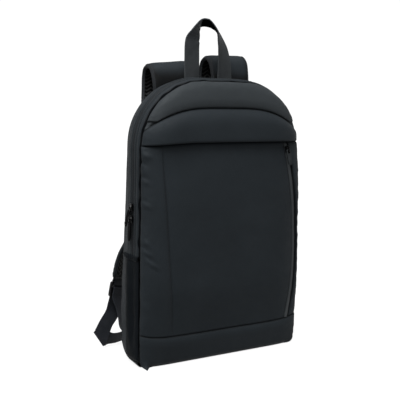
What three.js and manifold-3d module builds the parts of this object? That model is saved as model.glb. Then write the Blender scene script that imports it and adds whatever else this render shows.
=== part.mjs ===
// A slim expandable laptop backpack standing on its base. Millimetres, +Z up.
// The front faces -Y, +X is on the right of someone looking at the front, and the
// origin is on the floor under the middle of the base.
import * as THREE from "three";
import { mergeVertices } from "three/addons/utils/BufferGeometryUtils.js";
import Module from "manifold-3d";

// Driving dimensions of the body
const HALF_WIDTH_LOW = 148;
const HALF_WIDTH_HIGH = 143.5;
const SHOULDER_HEIGHT = 339;
const TOP_RADIUS = 106;
const TOP_HEIGHT = SHOULDER_HEIGHT + TOP_RADIUS;
const TOP_ARC_X = HALF_WIDTH_HIGH - TOP_RADIUS;
const FOOT_RADIUS = 9;
const FRONT_SEAM_Y = -31;
const CLOTH = 2;
const GAP = 0.4;
const GUSSET_FRONT_Y = FRONT_SEAM_Y + CLOTH + GAP;

// The front swells out from its edge seam, and its edge is rounded over this width.
const FRONT_EDGE_ROUND = 46;
const FRONT_SWELL = [
  { z: 0, swell: 7 },
  { z: 50, swell: 14 },
  { z: 130, swell: 18 },
  { z: 250, swell: 18 },
  { z: 346, swell: 15 },
  { z: 403, swell: 14 },
  { z: 446, swell: 12 },
];

// Depth of the body: where the gusset meets the back panel at each height.
const BACK_SEAM = [
  { z: 0, y: 33 },
  { z: 40, y: 33 },
  { z: 75, y: 35 },
  { z: 110, y: 33 },
  { z: 170, y: 27 },
  { z: 258, y: 20 },
  { z: 337, y: 15.5 },
  { z: 460, y: 16 },
];

// Seams of the front
const FLAP_SEAM_Z = 346;
const ARCH_PEAK_Z = 403;
const ARCH_DROP = 37;
const YOKE_END_Z = 381;
const BASE_SEAM_Z = 47;
const BASE_SEAM_RISE = 7;
const SEAM_GAP = 0.8;
const LEFT_SEAM = { lowX: -94, highX: -113 };
const FRONT_ZIP = { bowX: 134.5, bowZ: 165, topDrop: 23.5, lowDrop: 13.5, halfWidth: 4.5 };
const PUFF = { yoke: 5, arch: 6, left: 4, center: 5, strip: 5, base: 4 };
const YOKE_RIM_RISE = 3;
const TUCK = { depth: 5, startShare: 0.91 };

// Gusset, base and back
const GUSSET_LOW_Z = 200;
const GUSSET_SWELL = 3;
const GUSSET_TOP_LIFT = 5;
const MAIN_ZIP = { y: -12, halfWidth: 5 };
const BASE_ARC = { startY: 5.5, radius: 30, topZ: 37 };
const BASE_GRID = { flatShare: 0.4, cornerShare: 0.2 };
const BASE_SIDE_GAP = 2;
const BACK_PAD = { lowZ: 37.6, cornerRadius: 40, thickness: 15, round: 15 };
const BACK_EDGE = { cornerRadius: 6, thickness: 5, inset: 1, crowding: 0.5 };

// Side pockets
const POCKET = { lowZ: 15, topZ: 168, lowBackY: 7, topBackY: 15, frontY: GUSSET_FRONT_Y + 0.3 };
const POCKET_CLOTH = { thickness: 1.6, swell: 1.5, hollow: 10 };
const BINDING = { topZ: 177, proud: 0.8 };

// Carrying pieces
const HANDLE = { y: 18.4, width: 27, thickness: 2.4 };

// Handle from its left foot to its right foot.
// The strip turns its front face down over the arch, and shows its other face on the right leg.
const HANDLE_ROUTE = [
  { x: -31, z: 450.4, turn: 0, tilt: 23 },
  { x: -31, z: 479.6, turn: 0, tilt: 20 },
  { x: -30, z: 508.7, turn: -3, tilt: 18 },
  { x: -25.6, z: 518.6, turn: -25, tilt: 15 },
  { x: -20.6, z: 529.6, turn: -49, tilt: 15 },
  { x: -14, z: 538.1, turn: -66, tilt: 17 },
  { x: -6.9, z: 538.7, turn: -74, tilt: 22 },
  { x: 5.2, z: 534, turn: -64, tilt: 7 },
  { x: 13, z: 528.5, turn: -68, tilt: -7 },
  { x: 17.6, z: 523, turn: -60, tilt: -18 },
  { x: 21.7, z: 512.4, turn: -46, tilt: -22 },
  { x: 26.6, z: 496.7, turn: -27, tilt: -21 },
  { x: 29.4, z: 475, turn: -11, tilt: -17 },
  { x: 29.8, z: 450.4, turn: 0, tilt: -12 },
];

const STRAP = { thickness: 5.4, meshThickness: 3.6 };
const WEBBING = { width: 25, thickness: 1.4 };
const LOCK = { width: 36, length: 25, thickness: 4, bar: 4.4, slotWidth: 27, distance: 18.5, corner: 0.14 };
const LOCK_ACROSS = new THREE.Vector3(-0.9, -0.42, 0.15);

// Left strap from its seam on the back, over the top and down behind, at mid-thickness.
// It turns its outer edge towards the bag on the way down, and lifts that edge by its lean.
// Over the top, by the last column, the right strap stands higher and each leans by its own tilt.
const STRAP_RISE = { left: 0, right: 15 };
const STRAP_TILT = { left: -0.1, right: 0.03 };
const STRAP_ROUTE = [
  { x: -54, y: 41.2, z: 424, width: 62, turn: 0, lean: 0, top: 0 },
  { x: -54, y: 42.5, z: 452, width: 66, turn: 0, lean: 0, top: 0.6 },
  { x: -54, y: 49, z: 467, width: 68, turn: 0, lean: 0, top: 0.9 },
  { x: -54, y: 61, z: 473, width: 69, turn: 0, lean: 0, top: 1 },
  { x: -53.5, y: 73, z: 469, width: 70, turn: 0, lean: 0, top: 0.9 },
  { x: -53, y: 79, z: 455, width: 70, turn: 0, lean: 0, top: 0.7 },
  { x: -54, y: 77, z: 428, width: 71, turn: 0, lean: 0, top: 0.3 },
  { x: -60, y: 69, z: 388, width: 72, turn: 3, lean: 0, top: 0 },
  { x: -78, y: 64, z: 320, width: 70, turn: 13, lean: 0, top: 0 },
  { x: -93, y: 67, z: 255, width: 64, turn: 27, lean: 0.05, top: 0 },
  { x: -102, y: 76, z: 212, width: 58, turn: 41, lean: 0.12, top: 0 },
  { x: -109, y: 85, z: 180, width: 54, turn: 51, lean: 0.19, top: 0 },
  { x: -123, y: 90, z: 152, width: 50, turn: 54, lean: 0.2, top: 0 },
  { x: -131.5, y: 86, z: 116, width: 46, turn: 45, lean: 0.2, top: 0 },
];

// Left webbing from the base seam up to the buckle, with its width direction
const WEBBING_RISE = [
  { x: -137, y: 36.2, z: 24, wx: 0, wy: 0, wz: -1 },
  { x: -137, y: 43, z: 24, wx: 0.1, wy: 0, wz: -0.99 },
  { x: -137.5, y: 56, z: 34, wx: 0.45, wy: 0.2, wz: -0.87 },
  { x: -133.5, y: 67, z: 49, wx: 0.7, wy: 0.3, wz: -0.65 },
  { x: -132.5, y: 75, z: 66, wx: 0.85, wy: 0.4, wz: -0.35 },
];

// Left webbing round the middle bar of the buckle: along the strap, and out from its middle plane
const BUCKLE_ROUTE = [
  { along: 12, out: -3.3 },
  { along: 2, out: -3.3 },
  { along: -2.6, out: -3.1 },
  { along: -4.2, out: 0 },
  { along: -2.6, out: 3.1 },
  { along: 2, out: 3.3 },
  { along: 12, out: 3.3 },
  { along: 20, out: 3.8 },
];

// Left webbing's tail from the buckle to the fold, and along the floor behind the bag. Where slant is 1,
// the strip lies with its width straight along the fold instead of square to its middle line.
const FOLD_STRETCH = 0.28;
const WEBBING_TAIL = [
  { x: -146, y: 82, z: 59.4, wx: 0.83, wy: -0.09, wz: -0.55, slant: 0 },
  { x: -157.5, y: 81, z: 42.5, wx: 0.82, wy: -0.05, wz: -0.57, slant: 0 },
  { x: -164, y: 80.5, z: 29.5, wx: 0.74, wy: 0, wz: -0.67, slant: 0.4 },
  { x: -168, y: 80.8, z: 20.5, wx: 0.53, wy: 0, wz: -0.85, slant: 1 },
  { x: -170.4, y: 82.6, z: 16.8, wx: 0.53, wy: 0, wz: -0.85, slant: 1 },
  { x: -166, y: 84.4, z: 16.8, wx: 0.53, wy: 0, wz: -0.85, slant: 1 },
  { x: -157, y: 85.8, z: 15.2, wx: 0.3, wy: 0.22, wz: -0.92, slant: 0.5 },
  { x: -147.5, y: 86.8, z: 13.2, wx: 0.05, wy: 0.45, wz: -0.88, slant: 0 },
  { x: -138, y: 87.6, z: 12.4, wx: 0, wy: 0.5, wz: -0.86, slant: 0 },
  { x: -122, y: 93, z: 12.2, wx: -0.1, wy: 0.5, wz: -0.86, slant: 0 },
  { x: -108, y: 99, z: 12.2, wx: -0.1, wy: 0.5, wz: -0.86, slant: 0 },
];

// Loop of webbing that ties the strap to the top bar of the buckle
const END_LOOP_ROUTE = [
  { along: -17.7, out: 2.2 },
  { along: -14, out: 3 },
  { along: -11, out: 3.3 },
  { along: -7.9, out: 3.1 },
  { along: -6.3, out: 0 },
  { along: -7.9, out: -3.1 },
  { along: -11, out: -3.3 },
  { along: -14, out: -3 },
  { along: -17.7, out: -2.2 },
];

// Zip sliders and pulls, in each slider's own frame: x across the zip, y along it, z off the cloth
const SLIDER = { width: 8, length: 11, height: 2.6 };
const BRIDGE = { width: 1.6, length: 9, height: 5, sink: 1, bar: 1.2 };
const PULL = { width: 8, thickness: 1.4, hole: 5.6, bar: 1.4, pivotY: -1.2, pivotZ: 4 };
const MAIN_SLIDERS = [
  { name: "main_zip_slider_a", pull: "main_zip_pull_a", z: 251, lean: -33, length: 36 },
  { name: "main_zip_slider_b", pull: "main_zip_pull_b", z: 233, lean: -8, length: 34 },
];
const FRONT_SLIDER_Z = 337;
const FRONT_PULL_LENGTH = 26;

// Looks of the cloth and the fittings
const LOOK = {
  shell: { color: 0x33373a, roughness: 0.85, metalness: 0 },
  yoke: { color: 0x3d4142, roughness: 0.85, metalness: 0 },
  pocket: { color: 0x15181c, roughness: 0.8, metalness: 0 },
  back: { color: 0x1d2023, roughness: 0.95, metalness: 0 },
  zip: { color: 0x26292c, roughness: 0.7, metalness: 0 },
  welt: { color: 0x53585b, roughness: 0.5, metalness: 0 },
  webbing: { color: 0x2d3237, roughness: 0.8, metalness: 0 },
  plastic: { color: 0x16181a, roughness: 0.45, metalness: 0 },
  metal: { color: 0x3c3f42, roughness: 0.35, metalness: 0.8 },
};

const wasm = await Module();
wasm.setup();

const lerp = THREE.MathUtils.lerp;
const clamp = THREE.MathUtils.clamp;
const smooth = THREE.MathUtils.smoothstep;

function piece(name, geometry, look) {
  geometry.computeVertexNormals();
  const mesh = new THREE.Mesh(geometry, new THREE.MeshStandardMaterial(look));
  mesh.name = name;
  return mesh;
}

// Value of a column at height z, from a table whose rows rise in z
function atHeight(table, z, column) {
  const last = table.length - 1;
  if (z <= table[0].z) return table[0][column];
  if (z >= table[last].z) return table[last][column];
  const i = table.findIndex((row) => row.z > z);
  const low = table[i - 1];
  const high = table[i];
  return lerp(low[column], high[column], smooth(z, low.z, high.z));
}

const backSeamY = (z) => atHeight(BACK_SEAM, z, "y");

// Half the body's width at height z: rounded feet, sides that draw in a little, and large top arcs
function halfWidth(z) {
  if (z >= SHOULDER_HEIGHT) {
    const rise = Math.min(z - SHOULDER_HEIGHT, TOP_RADIUS);
    return TOP_ARC_X + Math.sqrt(TOP_RADIUS ** 2 - rise ** 2);
  }
  const side = lerp(HALF_WIDTH_LOW, HALF_WIDTH_HIGH, z / SHOULDER_HEIGHT);
  if (z >= FOOT_RADIUS) return side;
  return side - FOOT_RADIUS + Math.sqrt(FOOT_RADIUS ** 2 - (FOOT_RADIUS - z) ** 2);
}

// Distance in from the outline of the front
function insideEdge(x, z) {
  const across = Math.abs(x);
  if (z <= SHOULDER_HEIGHT) return halfWidth(z) - across;
  if (across <= TOP_ARC_X) return TOP_HEIGHT - z;
  return TOP_RADIUS - Math.hypot(across - TOP_ARC_X, z - SHOULDER_HEIGHT);
}

// Quarter-round rise from 0 at an edge to 1 at the given width
function rounded(distance, width) {
  const t = clamp(distance / width, 0, 1);
  return Math.sqrt(1 - (1 - t) ** 2);
}

function frontY(x, z) {
  const swell = atHeight(FRONT_SWELL, z, "swell");
  return FRONT_SEAM_Y - swell * rounded(insideEdge(x, z), FRONT_EDGE_ROUND);
}

// Rise of a stuffed panel: 0 along its seams, 1 over its middle
function pillow(u, v) {
  return (1 - (2 * u - 1) ** 6) * (1 - (2 * v - 1) ** 4);
}

// Splits each square of the box's back face along the same diagonal as the front face,
// so that two layers of a twisted strip stay apart
function matchDiagonals(box) {
  const { start, count } = box.groups[5];
  for (let i = start; i < start + count; i += 6) {
    const [a, b, d, , c] = box.index.array.slice(i, i + 6);
    box.index.array.set([a, b, c, a, c, d], i);
  }
}

// A closed wall between two surfaces of (u, v). The outside faces along du x dv.
function wall(name, across, up, outside, inside, look) {
  const geometry = new THREE.BoxGeometry(1, 1, 1, across, up, 1);
  matchDiagonals(geometry);
  geometry.deleteAttribute("normal");
  geometry.deleteAttribute("uv");
  const spots = geometry.getAttribute("position");
  for (let i = 0; i < spots.count; i++) {
    const surface = spots.getZ(i) > 0 ? outside : inside;
    const p = surface(spots.getX(i) + 0.5, spots.getY(i) + 0.5);
    spots.setXYZ(i, p.x, p.y, p.z);
  }
  return piece(name, mergeVertices(geometry), look);
}

// The surface moved along its own normal
function offset(surface, distance) {
  const step = 1e-3;
  return (u, v) => {
    const du = surface(Math.min(u + step, 1), v).sub(surface(Math.max(u - step, 0), v));
    const dv = surface(u, Math.min(v + step, 1)).sub(surface(u, Math.max(v - step, 0)));
    return surface(u, v).addScaledVector(du.cross(dv).normalize(), distance);
  };
}

function clothWall(name, across, up, surface, look, thickness = CLOTH) {
  return wall(name, across, up, surface, offset(surface, -thickness), look);
}

// A front panel between two edges in x and two in z, each a function of the other direction
function frontPanel(name, across, up, edges, puff, look) {
  const outside = (u, v) => {
    const z = lerp(edges.low(u), edges.high(u), v);
    const x = lerp(edges.left(z), edges.right(z), u);
    return new THREE.Vector3(x, frontY(x, z) - puff * pillow(u, v), z);
  };
  const inside = (u, v) => outside(u, v).add(new THREE.Vector3(0, CLOTH, 0));
  return wall(name, across, up, outside, inside, look);
}

// Seams: s runs from -1 at the left edge of the front to 1 at the right edge
const baseSeam = (s) => BASE_SEAM_Z + BASE_SEAM_RISE * s ** 6;
const archSeam = (s) => ARCH_PEAK_Z - ARCH_DROP * s ** 4;
const yokeSeam = (s) => Math.max(archSeam(s), YOKE_END_Z);
const leftSeam = (z) =>
  lerp(LEFT_SEAM.lowX, LEFT_SEAM.highX, (z - BASE_SEAM_Z) / (FLAP_SEAM_Z - BASE_SEAM_Z));

function frontZipX(z) {
  const above = (z - FRONT_ZIP.bowZ) / (FLAP_SEAM_Z - FRONT_ZIP.bowZ);
  const below = (z - FRONT_ZIP.bowZ) / (FRONT_ZIP.bowZ - BASE_SEAM_Z);
  return z > FRONT_ZIP.bowZ
    ? FRONT_ZIP.bowX - FRONT_ZIP.topDrop * above ** 2
    : FRONT_ZIP.bowX - FRONT_ZIP.lowDrop * below ** 2;
}

function makeFront() {
  const front = new THREE.Group();
  const leftEdge = (z) => -halfWidth(z);
  const rightEdge = (z) => halfWidth(z);
  const half = SEAM_GAP / 2;
  const zipEdge = (side) => (z) => frontZipX(z) + side * FRONT_ZIP.halfWidth;

  front.add(
    frontPanel(
      "front_base_panel", 24, 3,
      { low: () => half, high: (u) => baseSeam(2 * u - 1) - half, left: leftEdge, right: rightEdge },
      PUFF.base, LOOK.shell,
    ),
  );

  // The four strips between the base seam and the flap seam, from left to right
  const seamShare = (x) => x / halfWidth(BASE_SEAM_Z);
  const strips = [
    { name: "front_left_panel", across: 6, puff: PUFF.left, look: LOOK.shell,
      left: leftEdge, right: (z) => leftSeam(z) - half },
    { name: "front_center_panel", across: 12, puff: PUFF.center, look: LOOK.shell,
      left: (z) => leftSeam(z) + half, right: (z) => zipEdge(-1)(z) - half },
    { name: "front_zip", across: 2, puff: 0, look: LOOK.welt,
      left: (z) => zipEdge(-1)(z) + half, right: (z) => zipEdge(1)(z) - half },
    { name: "front_right_panel", across: 3, puff: PUFF.strip, look: LOOK.shell,
      left: (z) => zipEdge(1)(z) + half, right: rightEdge },
  ];
  for (const { name, across, puff, look, left, right } of strips) {
    const low = (u) => {
      const x = lerp(left(BASE_SEAM_Z), right(BASE_SEAM_Z), u);
      return baseSeam(clamp(seamShare(x), -1, 1)) + half;
    };
    const high = () => FLAP_SEAM_Z - half;
    front.add(frontPanel(name, across, 10, { low, high, left, right }, puff, look));
  }

  const archHigh = (u) => archSeam(2 * u - 1) - half;
  front.add(
    frontPanel(
      "front_arch_panel", 20, 3,
      { low: () => FLAP_SEAM_Z + half, high: archHigh, left: leftEdge, right: rightEdge },
      PUFF.arch, LOOK.shell,
    ),
  );
  front.add(makeYoke());
  return front;
}

// The yoke runs from the arch seam up to the top of the outline.
function makeYoke() {
  const rim = new THREE.Path();
  const startZ = YOKE_END_Z + YOKE_RIM_RISE;
  const startAngle = Math.asin((startZ - SHOULDER_HEIGHT) / TOP_RADIUS);
  rim.absarc(-TOP_ARC_X, SHOULDER_HEIGHT, TOP_RADIUS, Math.PI - startAngle, Math.PI / 2, true);
  rim.absarc(TOP_ARC_X, SHOULDER_HEIGHT, TOP_RADIUS, Math.PI / 2, startAngle, true);
  const outside = (u, v) => {
    const s = 2 * u - 1;
    const lowZ = yokeSeam(s) + GAP / 2;
    const high = rim.getPointAt(u);
    const x = lerp(s * halfWidth(lowZ), high.x, v);
    const z = lerp(lowZ, high.y, v);
    return new THREE.Vector3(x, frontY(x, z) - PUFF.yoke * pillow(u, v), z);
  };
  const inside = (u, v) => outside(u, v).add(new THREE.Vector3(0, CLOTH, 0));
  return wall("front_yoke", 24, 4, outside, inside, LOOK.yoke);
}

// Small sunk corner under each end of the yoke, left side
function makeTuck(name) {
  const outside = (u, v) => {
    const s = lerp(-1, -TUCK.startShare, u);
    const z = lerp(archSeam(s) + GAP, YOKE_END_Z - GAP / 2, v);
    const x = s * halfWidth(z);
    const sink = TUCK.depth * rounded(insideEdge(x, z), TUCK.depth);
    return new THREE.Vector3(x, frontY(x, z) + sink * (1 - (2 * v - 1) ** 4), z);
  };
  const inside = (u, v) => outside(u, v).add(new THREE.Vector3(0, CLOTH, 0));
  return wall(name, 3, 3, outside, inside, LOOK.yoke);
}

// Point of the gusset: a point of the outline and its outward normal, at depth y
function gussetPoint(x, z, normal, y) {
  const share = (y - FRONT_SEAM_Y) / (backSeamY(z) - FRONT_SEAM_Y);
  const lift = GUSSET_TOP_LIFT * share * smooth(z, SHOULDER_HEIGHT, TOP_HEIGHT);
  const out = GUSSET_SWELL * Math.sin(Math.PI * clamp(share, 0, 1)) + lift;
  return new THREE.Vector3(x + normal.x * out, y, z + normal.y * out);
}

function makeGusset() {
  const gusset = new THREE.Group();
  const path = new THREE.Path();
  path.moveTo(-halfWidth(GUSSET_LOW_Z), GUSSET_LOW_Z);
  path.lineTo(-HALF_WIDTH_HIGH, SHOULDER_HEIGHT);
  path.absarc(-TOP_ARC_X, SHOULDER_HEIGHT, TOP_RADIUS, Math.PI, Math.PI / 2, true);
  path.absarc(TOP_ARC_X, SHOULDER_HEIGHT, TOP_RADIUS, Math.PI / 2, 0, true);
  path.lineTo(halfWidth(GUSSET_LOW_Z), GUSSET_LOW_Z);

  const zipFront = MAIN_ZIP.y - MAIN_ZIP.halfWidth;
  const zipBack = MAIN_ZIP.y + MAIN_ZIP.halfWidth;
  const bands = [
    { name: "gusset_front_band", across: 1, look: LOOK.shell,
      front: () => GUSSET_FRONT_Y, back: () => zipFront - GAP },
    { name: "main_zip", across: 1, look: LOOK.zip,
      front: () => zipFront, back: () => zipBack },
    { name: "gusset_back_band", across: 2, look: LOOK.shell,
      front: () => zipBack + GAP, back: (z) => backSeamY(z) - SEAM_GAP },
  ];
  for (const { name, across, look, front, back } of bands) {
    const surface = (u, v) => {
      const spot = path.getPointAt(u);
      const tangent = path.getTangentAt(u);
      const normal = new THREE.Vector2(-tangent.y, tangent.x);
      return gussetPoint(spot.x, spot.y, normal, lerp(front(spot.y), back(spot.y), v));
    };
    gusset.add(clothWall(name, 34, across, surface, look));
  }
  return gusset;
}

// Height of the underside at depth y: flat, then rounded up to the back
function baseRise(y) {
  const back = clamp(y - BASE_ARC.startY, 0, BASE_ARC.radius);
  return BASE_ARC.radius - Math.sqrt(BASE_ARC.radius ** 2 - back ** 2);
}

// The feet curl up less and less towards the top of the back arc.
const footLift = (rise) => 1 - rise / BASE_ARC.topZ;

function makeBase() {
  const profile = new THREE.Path();
  const arcY = BASE_ARC.startY;
  const { flatShare, cornerShare } = BASE_GRID;
  profile.absarc(arcY, BASE_ARC.radius, BASE_ARC.radius, -Math.PI / 2, 0, false);
  profile.lineTo(arcY + BASE_ARC.radius, BASE_ARC.topZ);
  const rim = new THREE.Path();
  const footX = HALF_WIDTH_LOW - FOOT_RADIUS;
  rim.absarc(-footX, FOOT_RADIUS, FOOT_RADIUS, Math.PI, Math.PI * 1.5, false);
  rim.absarc(footX, FOOT_RADIUS, FOOT_RADIUS, Math.PI * 1.5, Math.PI * 2, false);
  const rimPoint = (u) => {
    const [leftFoot, middle, rightFoot] = rim.curves;
    if (u < cornerShare) return leftFoot.getPoint(u / cornerShare);
    if (u > 1 - cornerShare) return rightFoot.getPoint((u - 1 + cornerShare) / cornerShare);
    return middle.getPoint((u - cornerShare) / (1 - 2 * cornerShare));
  };
  const surface = (u, v) => {
    const spot = rimPoint(u);
    const frontEdge = frontY(spot.x, 0) + CLOTH + GAP;
    if (v < flatShare) {
      return new THREE.Vector3(spot.x, lerp(frontEdge, arcY, v / flatShare), spot.y);
    }
    const { x: y, y: rise } = profile.getPoint((v - flatShare) / (1 - flatShare));
    return new THREE.Vector3(spot.x, y, rise + spot.y * footLift(rise));
  };
  const upward = (u, v) => surface(u, 1 - v);
  return clothWall("base_panel", 16, 8, upward, LOOK.shell);
}

function makeBackPanel() {
  const topZ = TOP_HEIGHT + GUSSET_TOP_LIFT - GAP;
  const half = (z) => {
    const { cornerRadius, inset } = BACK_EDGE;
    const corner = Math.max(cornerRadius - (z - BACK_PAD.lowZ), 0);
    const lift = GUSSET_TOP_LIFT * smooth(z, SHOULDER_HEIGHT, topZ);
    const side = halfWidth(Math.max(z - lift, FOOT_RADIUS)) + lift * smooth(z, SHOULDER_HEIGHT, topZ);
    return side - inset - cornerRadius + Math.sqrt(cornerRadius ** 2 - corner ** 2);
  };
  // Distance in from the outline of the padding, which has large round corners at the bottom
  const insidePad = (x, z) => {
    const r = BACK_PAD.cornerRadius;
    const across = half(z) - Math.abs(x);
    const up = z - BACK_PAD.lowZ;
    if (across < r && up < r) return r - Math.hypot(r - across, r - up);
    return Math.min(across, up, topZ - z);
  };
  const crowded = (t) => t - (BACK_EDGE.crowding * Math.sin(2 * Math.PI * t)) / (2 * Math.PI);
  const at = (u, v, depth) => {
    const z = lerp(BACK_PAD.lowZ, topZ, crowded(v));
    const x = lerp(half(z), -half(z), crowded(u));
    return new THREE.Vector3(x, backSeamY(z) + depth(insidePad(x, z)), z);
  };
  const padded = (edge) => BACK_EDGE.thickness + BACK_PAD.thickness * rounded(edge, BACK_PAD.round);
  return wall(
    "back_panel", 10, 16,
    (u, v) => at(u, v, padded),
    (u, v) => at(u, v, () => 0),
    LOOK.back,
  );
}

function pocketBackY(z) {
  return lerp(POCKET.lowBackY, POCKET.topBackY, (z - POCKET.lowZ) / (POCKET.topZ - POCKET.lowZ));
}

// Left side below the gusset bands, with a hollow behind the pocket
function makeSidePanel(name) {
  const surface = (u, v) => {
    const footY = lerp(GUSSET_FRONT_Y, backSeamY(BASE_ARC.topZ) - SEAM_GAP, v);
    const rise = baseRise(footY + BASE_SIDE_GAP);
    const lowZ = rise + FOOT_RADIUS * footLift(rise) + GAP;
    const z = lerp(lowZ, GUSSET_LOW_Z - GAP, u);
    const y = lerp(GUSSET_FRONT_Y, backSeamY(z) - SEAM_GAP, v);
    const inPocket = clamp((y - POCKET.frontY) / (pocketBackY(z) - POCKET.frontY), 0, 1);
    const up = clamp((z - POCKET.lowZ) / (GUSSET_LOW_Z - POCKET.lowZ), 0, 1);
    const hollow = POCKET_CLOTH.hollow * (1 - (2 * inPocket - 1) ** 4) * (1 - (2 * up - 1) ** 8);
    const p = gussetPoint(-halfWidth(z), z, new THREE.Vector2(-1, 0), y);
    return p.setX(p.x + hollow);
  };
  const inside = (u, v) => surface(u, v).add(new THREE.Vector3(CLOTH, 0, 0));
  return wall(name, 10, 8, surface, inside, LOOK.shell);
}

// Outer face of the left pocket's cloth
function pocketPoint(share, z, proud) {
  const y = lerp(POCKET.frontY, pocketBackY(z), share);
  const p = gussetPoint(-halfWidth(z), z, new THREE.Vector2(-1, 0), y);
  return p.setX(p.x - proud - POCKET_CLOTH.swell * (1 - (2 * share - 1) ** 2));
}

function makePocket(side) {
  const pocket = new THREE.Group();
  const thickness = POCKET_CLOTH.thickness;
  const proud = thickness + GAP;
  const cloth = (u, v) => pocketPoint(v, lerp(POCKET.lowZ, POCKET.topZ, u), proud);
  const hem = (u, v) => pocketPoint(v, lerp(POCKET.topZ + GAP, BINDING.topZ, u), proud + BINDING.proud);
  pocket.add(clothWall(`side_pocket_${side}`, 10, 6, cloth, LOOK.pocket, thickness));
  pocket.add(clothWall(`pocket_binding_${side}`, 1, 6, hem, LOOK.shell, thickness + BINDING.proud));
  return pocket;
}

// A flat strip: its middle line, its width and width direction, and where its two faces lie
function strip(name, steps, route, faces, look) {
  const at = (height) => (u, v) => {
    const { middle, tangent, width, direction, slant } = route(u);
    const square = direction.clone().addScaledVector(tangent, -direction.dot(tangent)).normalize();
    const sideways = square.lerp(direction, slant).normalize();
    const out = tangent.clone().cross(sideways).normalize();
    return middle.clone().addScaledVector(sideways, (v - 0.5) * width).addScaledVector(out, height);
  };
  return wall(name, steps, 1, at(faces.outer), at(faces.inner), look);
}

// Route through table rows, with width and width direction between rows
function routeThrough(rows) {
  const curve = new THREE.CatmullRomCurve3(rows.map((row) => row.middle), false, "centripetal");
  return (u) => {
    const place = u * (rows.length - 1);
    const i = Math.min(Math.floor(place), rows.length - 2);
    const share = place - i;
    return {
      middle: curve.getPoint(u),
      tangent: curve.getTangent(u),
      width: lerp(rows[i].width, rows[i + 1].width, share),
      direction: rows[i].direction.clone().lerp(rows[i + 1].direction, share).normalize(),
      slant: lerp(rows[i].slant ?? 0, rows[i + 1].slant ?? 0, share),
    };
  };
}

function makeHandle() {
  const { y, width, thickness } = HANDLE;
  const rows = HANDLE_ROUTE.map(({ x, z, turn, tilt }) => {
    const angle = THREE.MathUtils.degToRad(turn);
    const lean = THREE.MathUtils.degToRad(tilt);
    const back = Math.sin(angle);
    return {
      middle: new THREE.Vector3(x, y, z),
      width,
      direction: new THREE.Vector3(-Math.cos(angle), back * Math.cos(lean), -back * Math.sin(lean)),
    };
  });
  const faces = { outer: thickness / 2, inner: -thickness / 2 };
  return strip("handle", 32, routeThrough(rows), faces, LOOK.webbing);
}

// Frame of the buckle at the end of the left strap
function buckleFrame() {
  const [before, end] = STRAP_ROUTE.slice(-2).map((row) => new THREE.Vector3(row.x, row.y, row.z));
  const along = end.clone().sub(before).normalize();
  const across = LOCK_ACROSS.clone().addScaledVector(along, -along.dot(LOCK_ACROSS)).normalize();
  const out = along.clone().cross(across);
  const middle = end.clone().addScaledVector(along, LOCK.distance);
  return { along, across, out, middle };
}

// A row of a buckle route as a place, with the strip's width across the buckle
function buckleRow(row, frame) {
  const middle = frame.middle.clone();
  middle.addScaledVector(frame.along, row.along).addScaledVector(frame.out, row.out);
  return { middle, width: WEBBING.width, direction: frame.across.clone().negate() };
}

function makeBuckle(side, frame) {
  const outline = (width, length, x, y) => {
    const shape = new THREE.Shape();
    const r = Math.min(width, length) * LOCK.corner;
    shape.absarc(x + width / 2 - r, y + length / 2 - r, r, 0, Math.PI / 2, false);
    shape.absarc(x - width / 2 + r, y + length / 2 - r, r, Math.PI / 2, Math.PI, false);
    shape.absarc(x - width / 2 + r, y - length / 2 + r, r, Math.PI, Math.PI * 1.5, false);
    shape.absarc(x + width / 2 - r, y - length / 2 + r, r, Math.PI * 1.5, Math.PI * 2, false);
    return shape;
  };
  const plate = outline(LOCK.width, LOCK.length, 0, 0);
  const slot = (LOCK.length - 3 * LOCK.bar) / 2;
  for (const sign of [-1, 1]) {
    plate.holes.push(outline(LOCK.slotWidth, slot, 0, (sign * (LOCK.bar + slot)) / 2));
  }
  const extrusion = { depth: LOCK.thickness, bevelEnabled: false, curveSegments: 2 };
  const geometry = new THREE.ExtrudeGeometry(plate, extrusion);
  geometry.translate(0, 0, -LOCK.thickness / 2);
  const basis = new THREE.Matrix4().makeBasis(frame.across, frame.along.clone().negate(), frame.out);
  const lock = piece(`ladder_lock_${side}`, geometry, LOOK.plastic);
  lock.position.copy(frame.middle);
  lock.quaternion.setFromRotationMatrix(basis);
  return lock;
}

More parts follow.
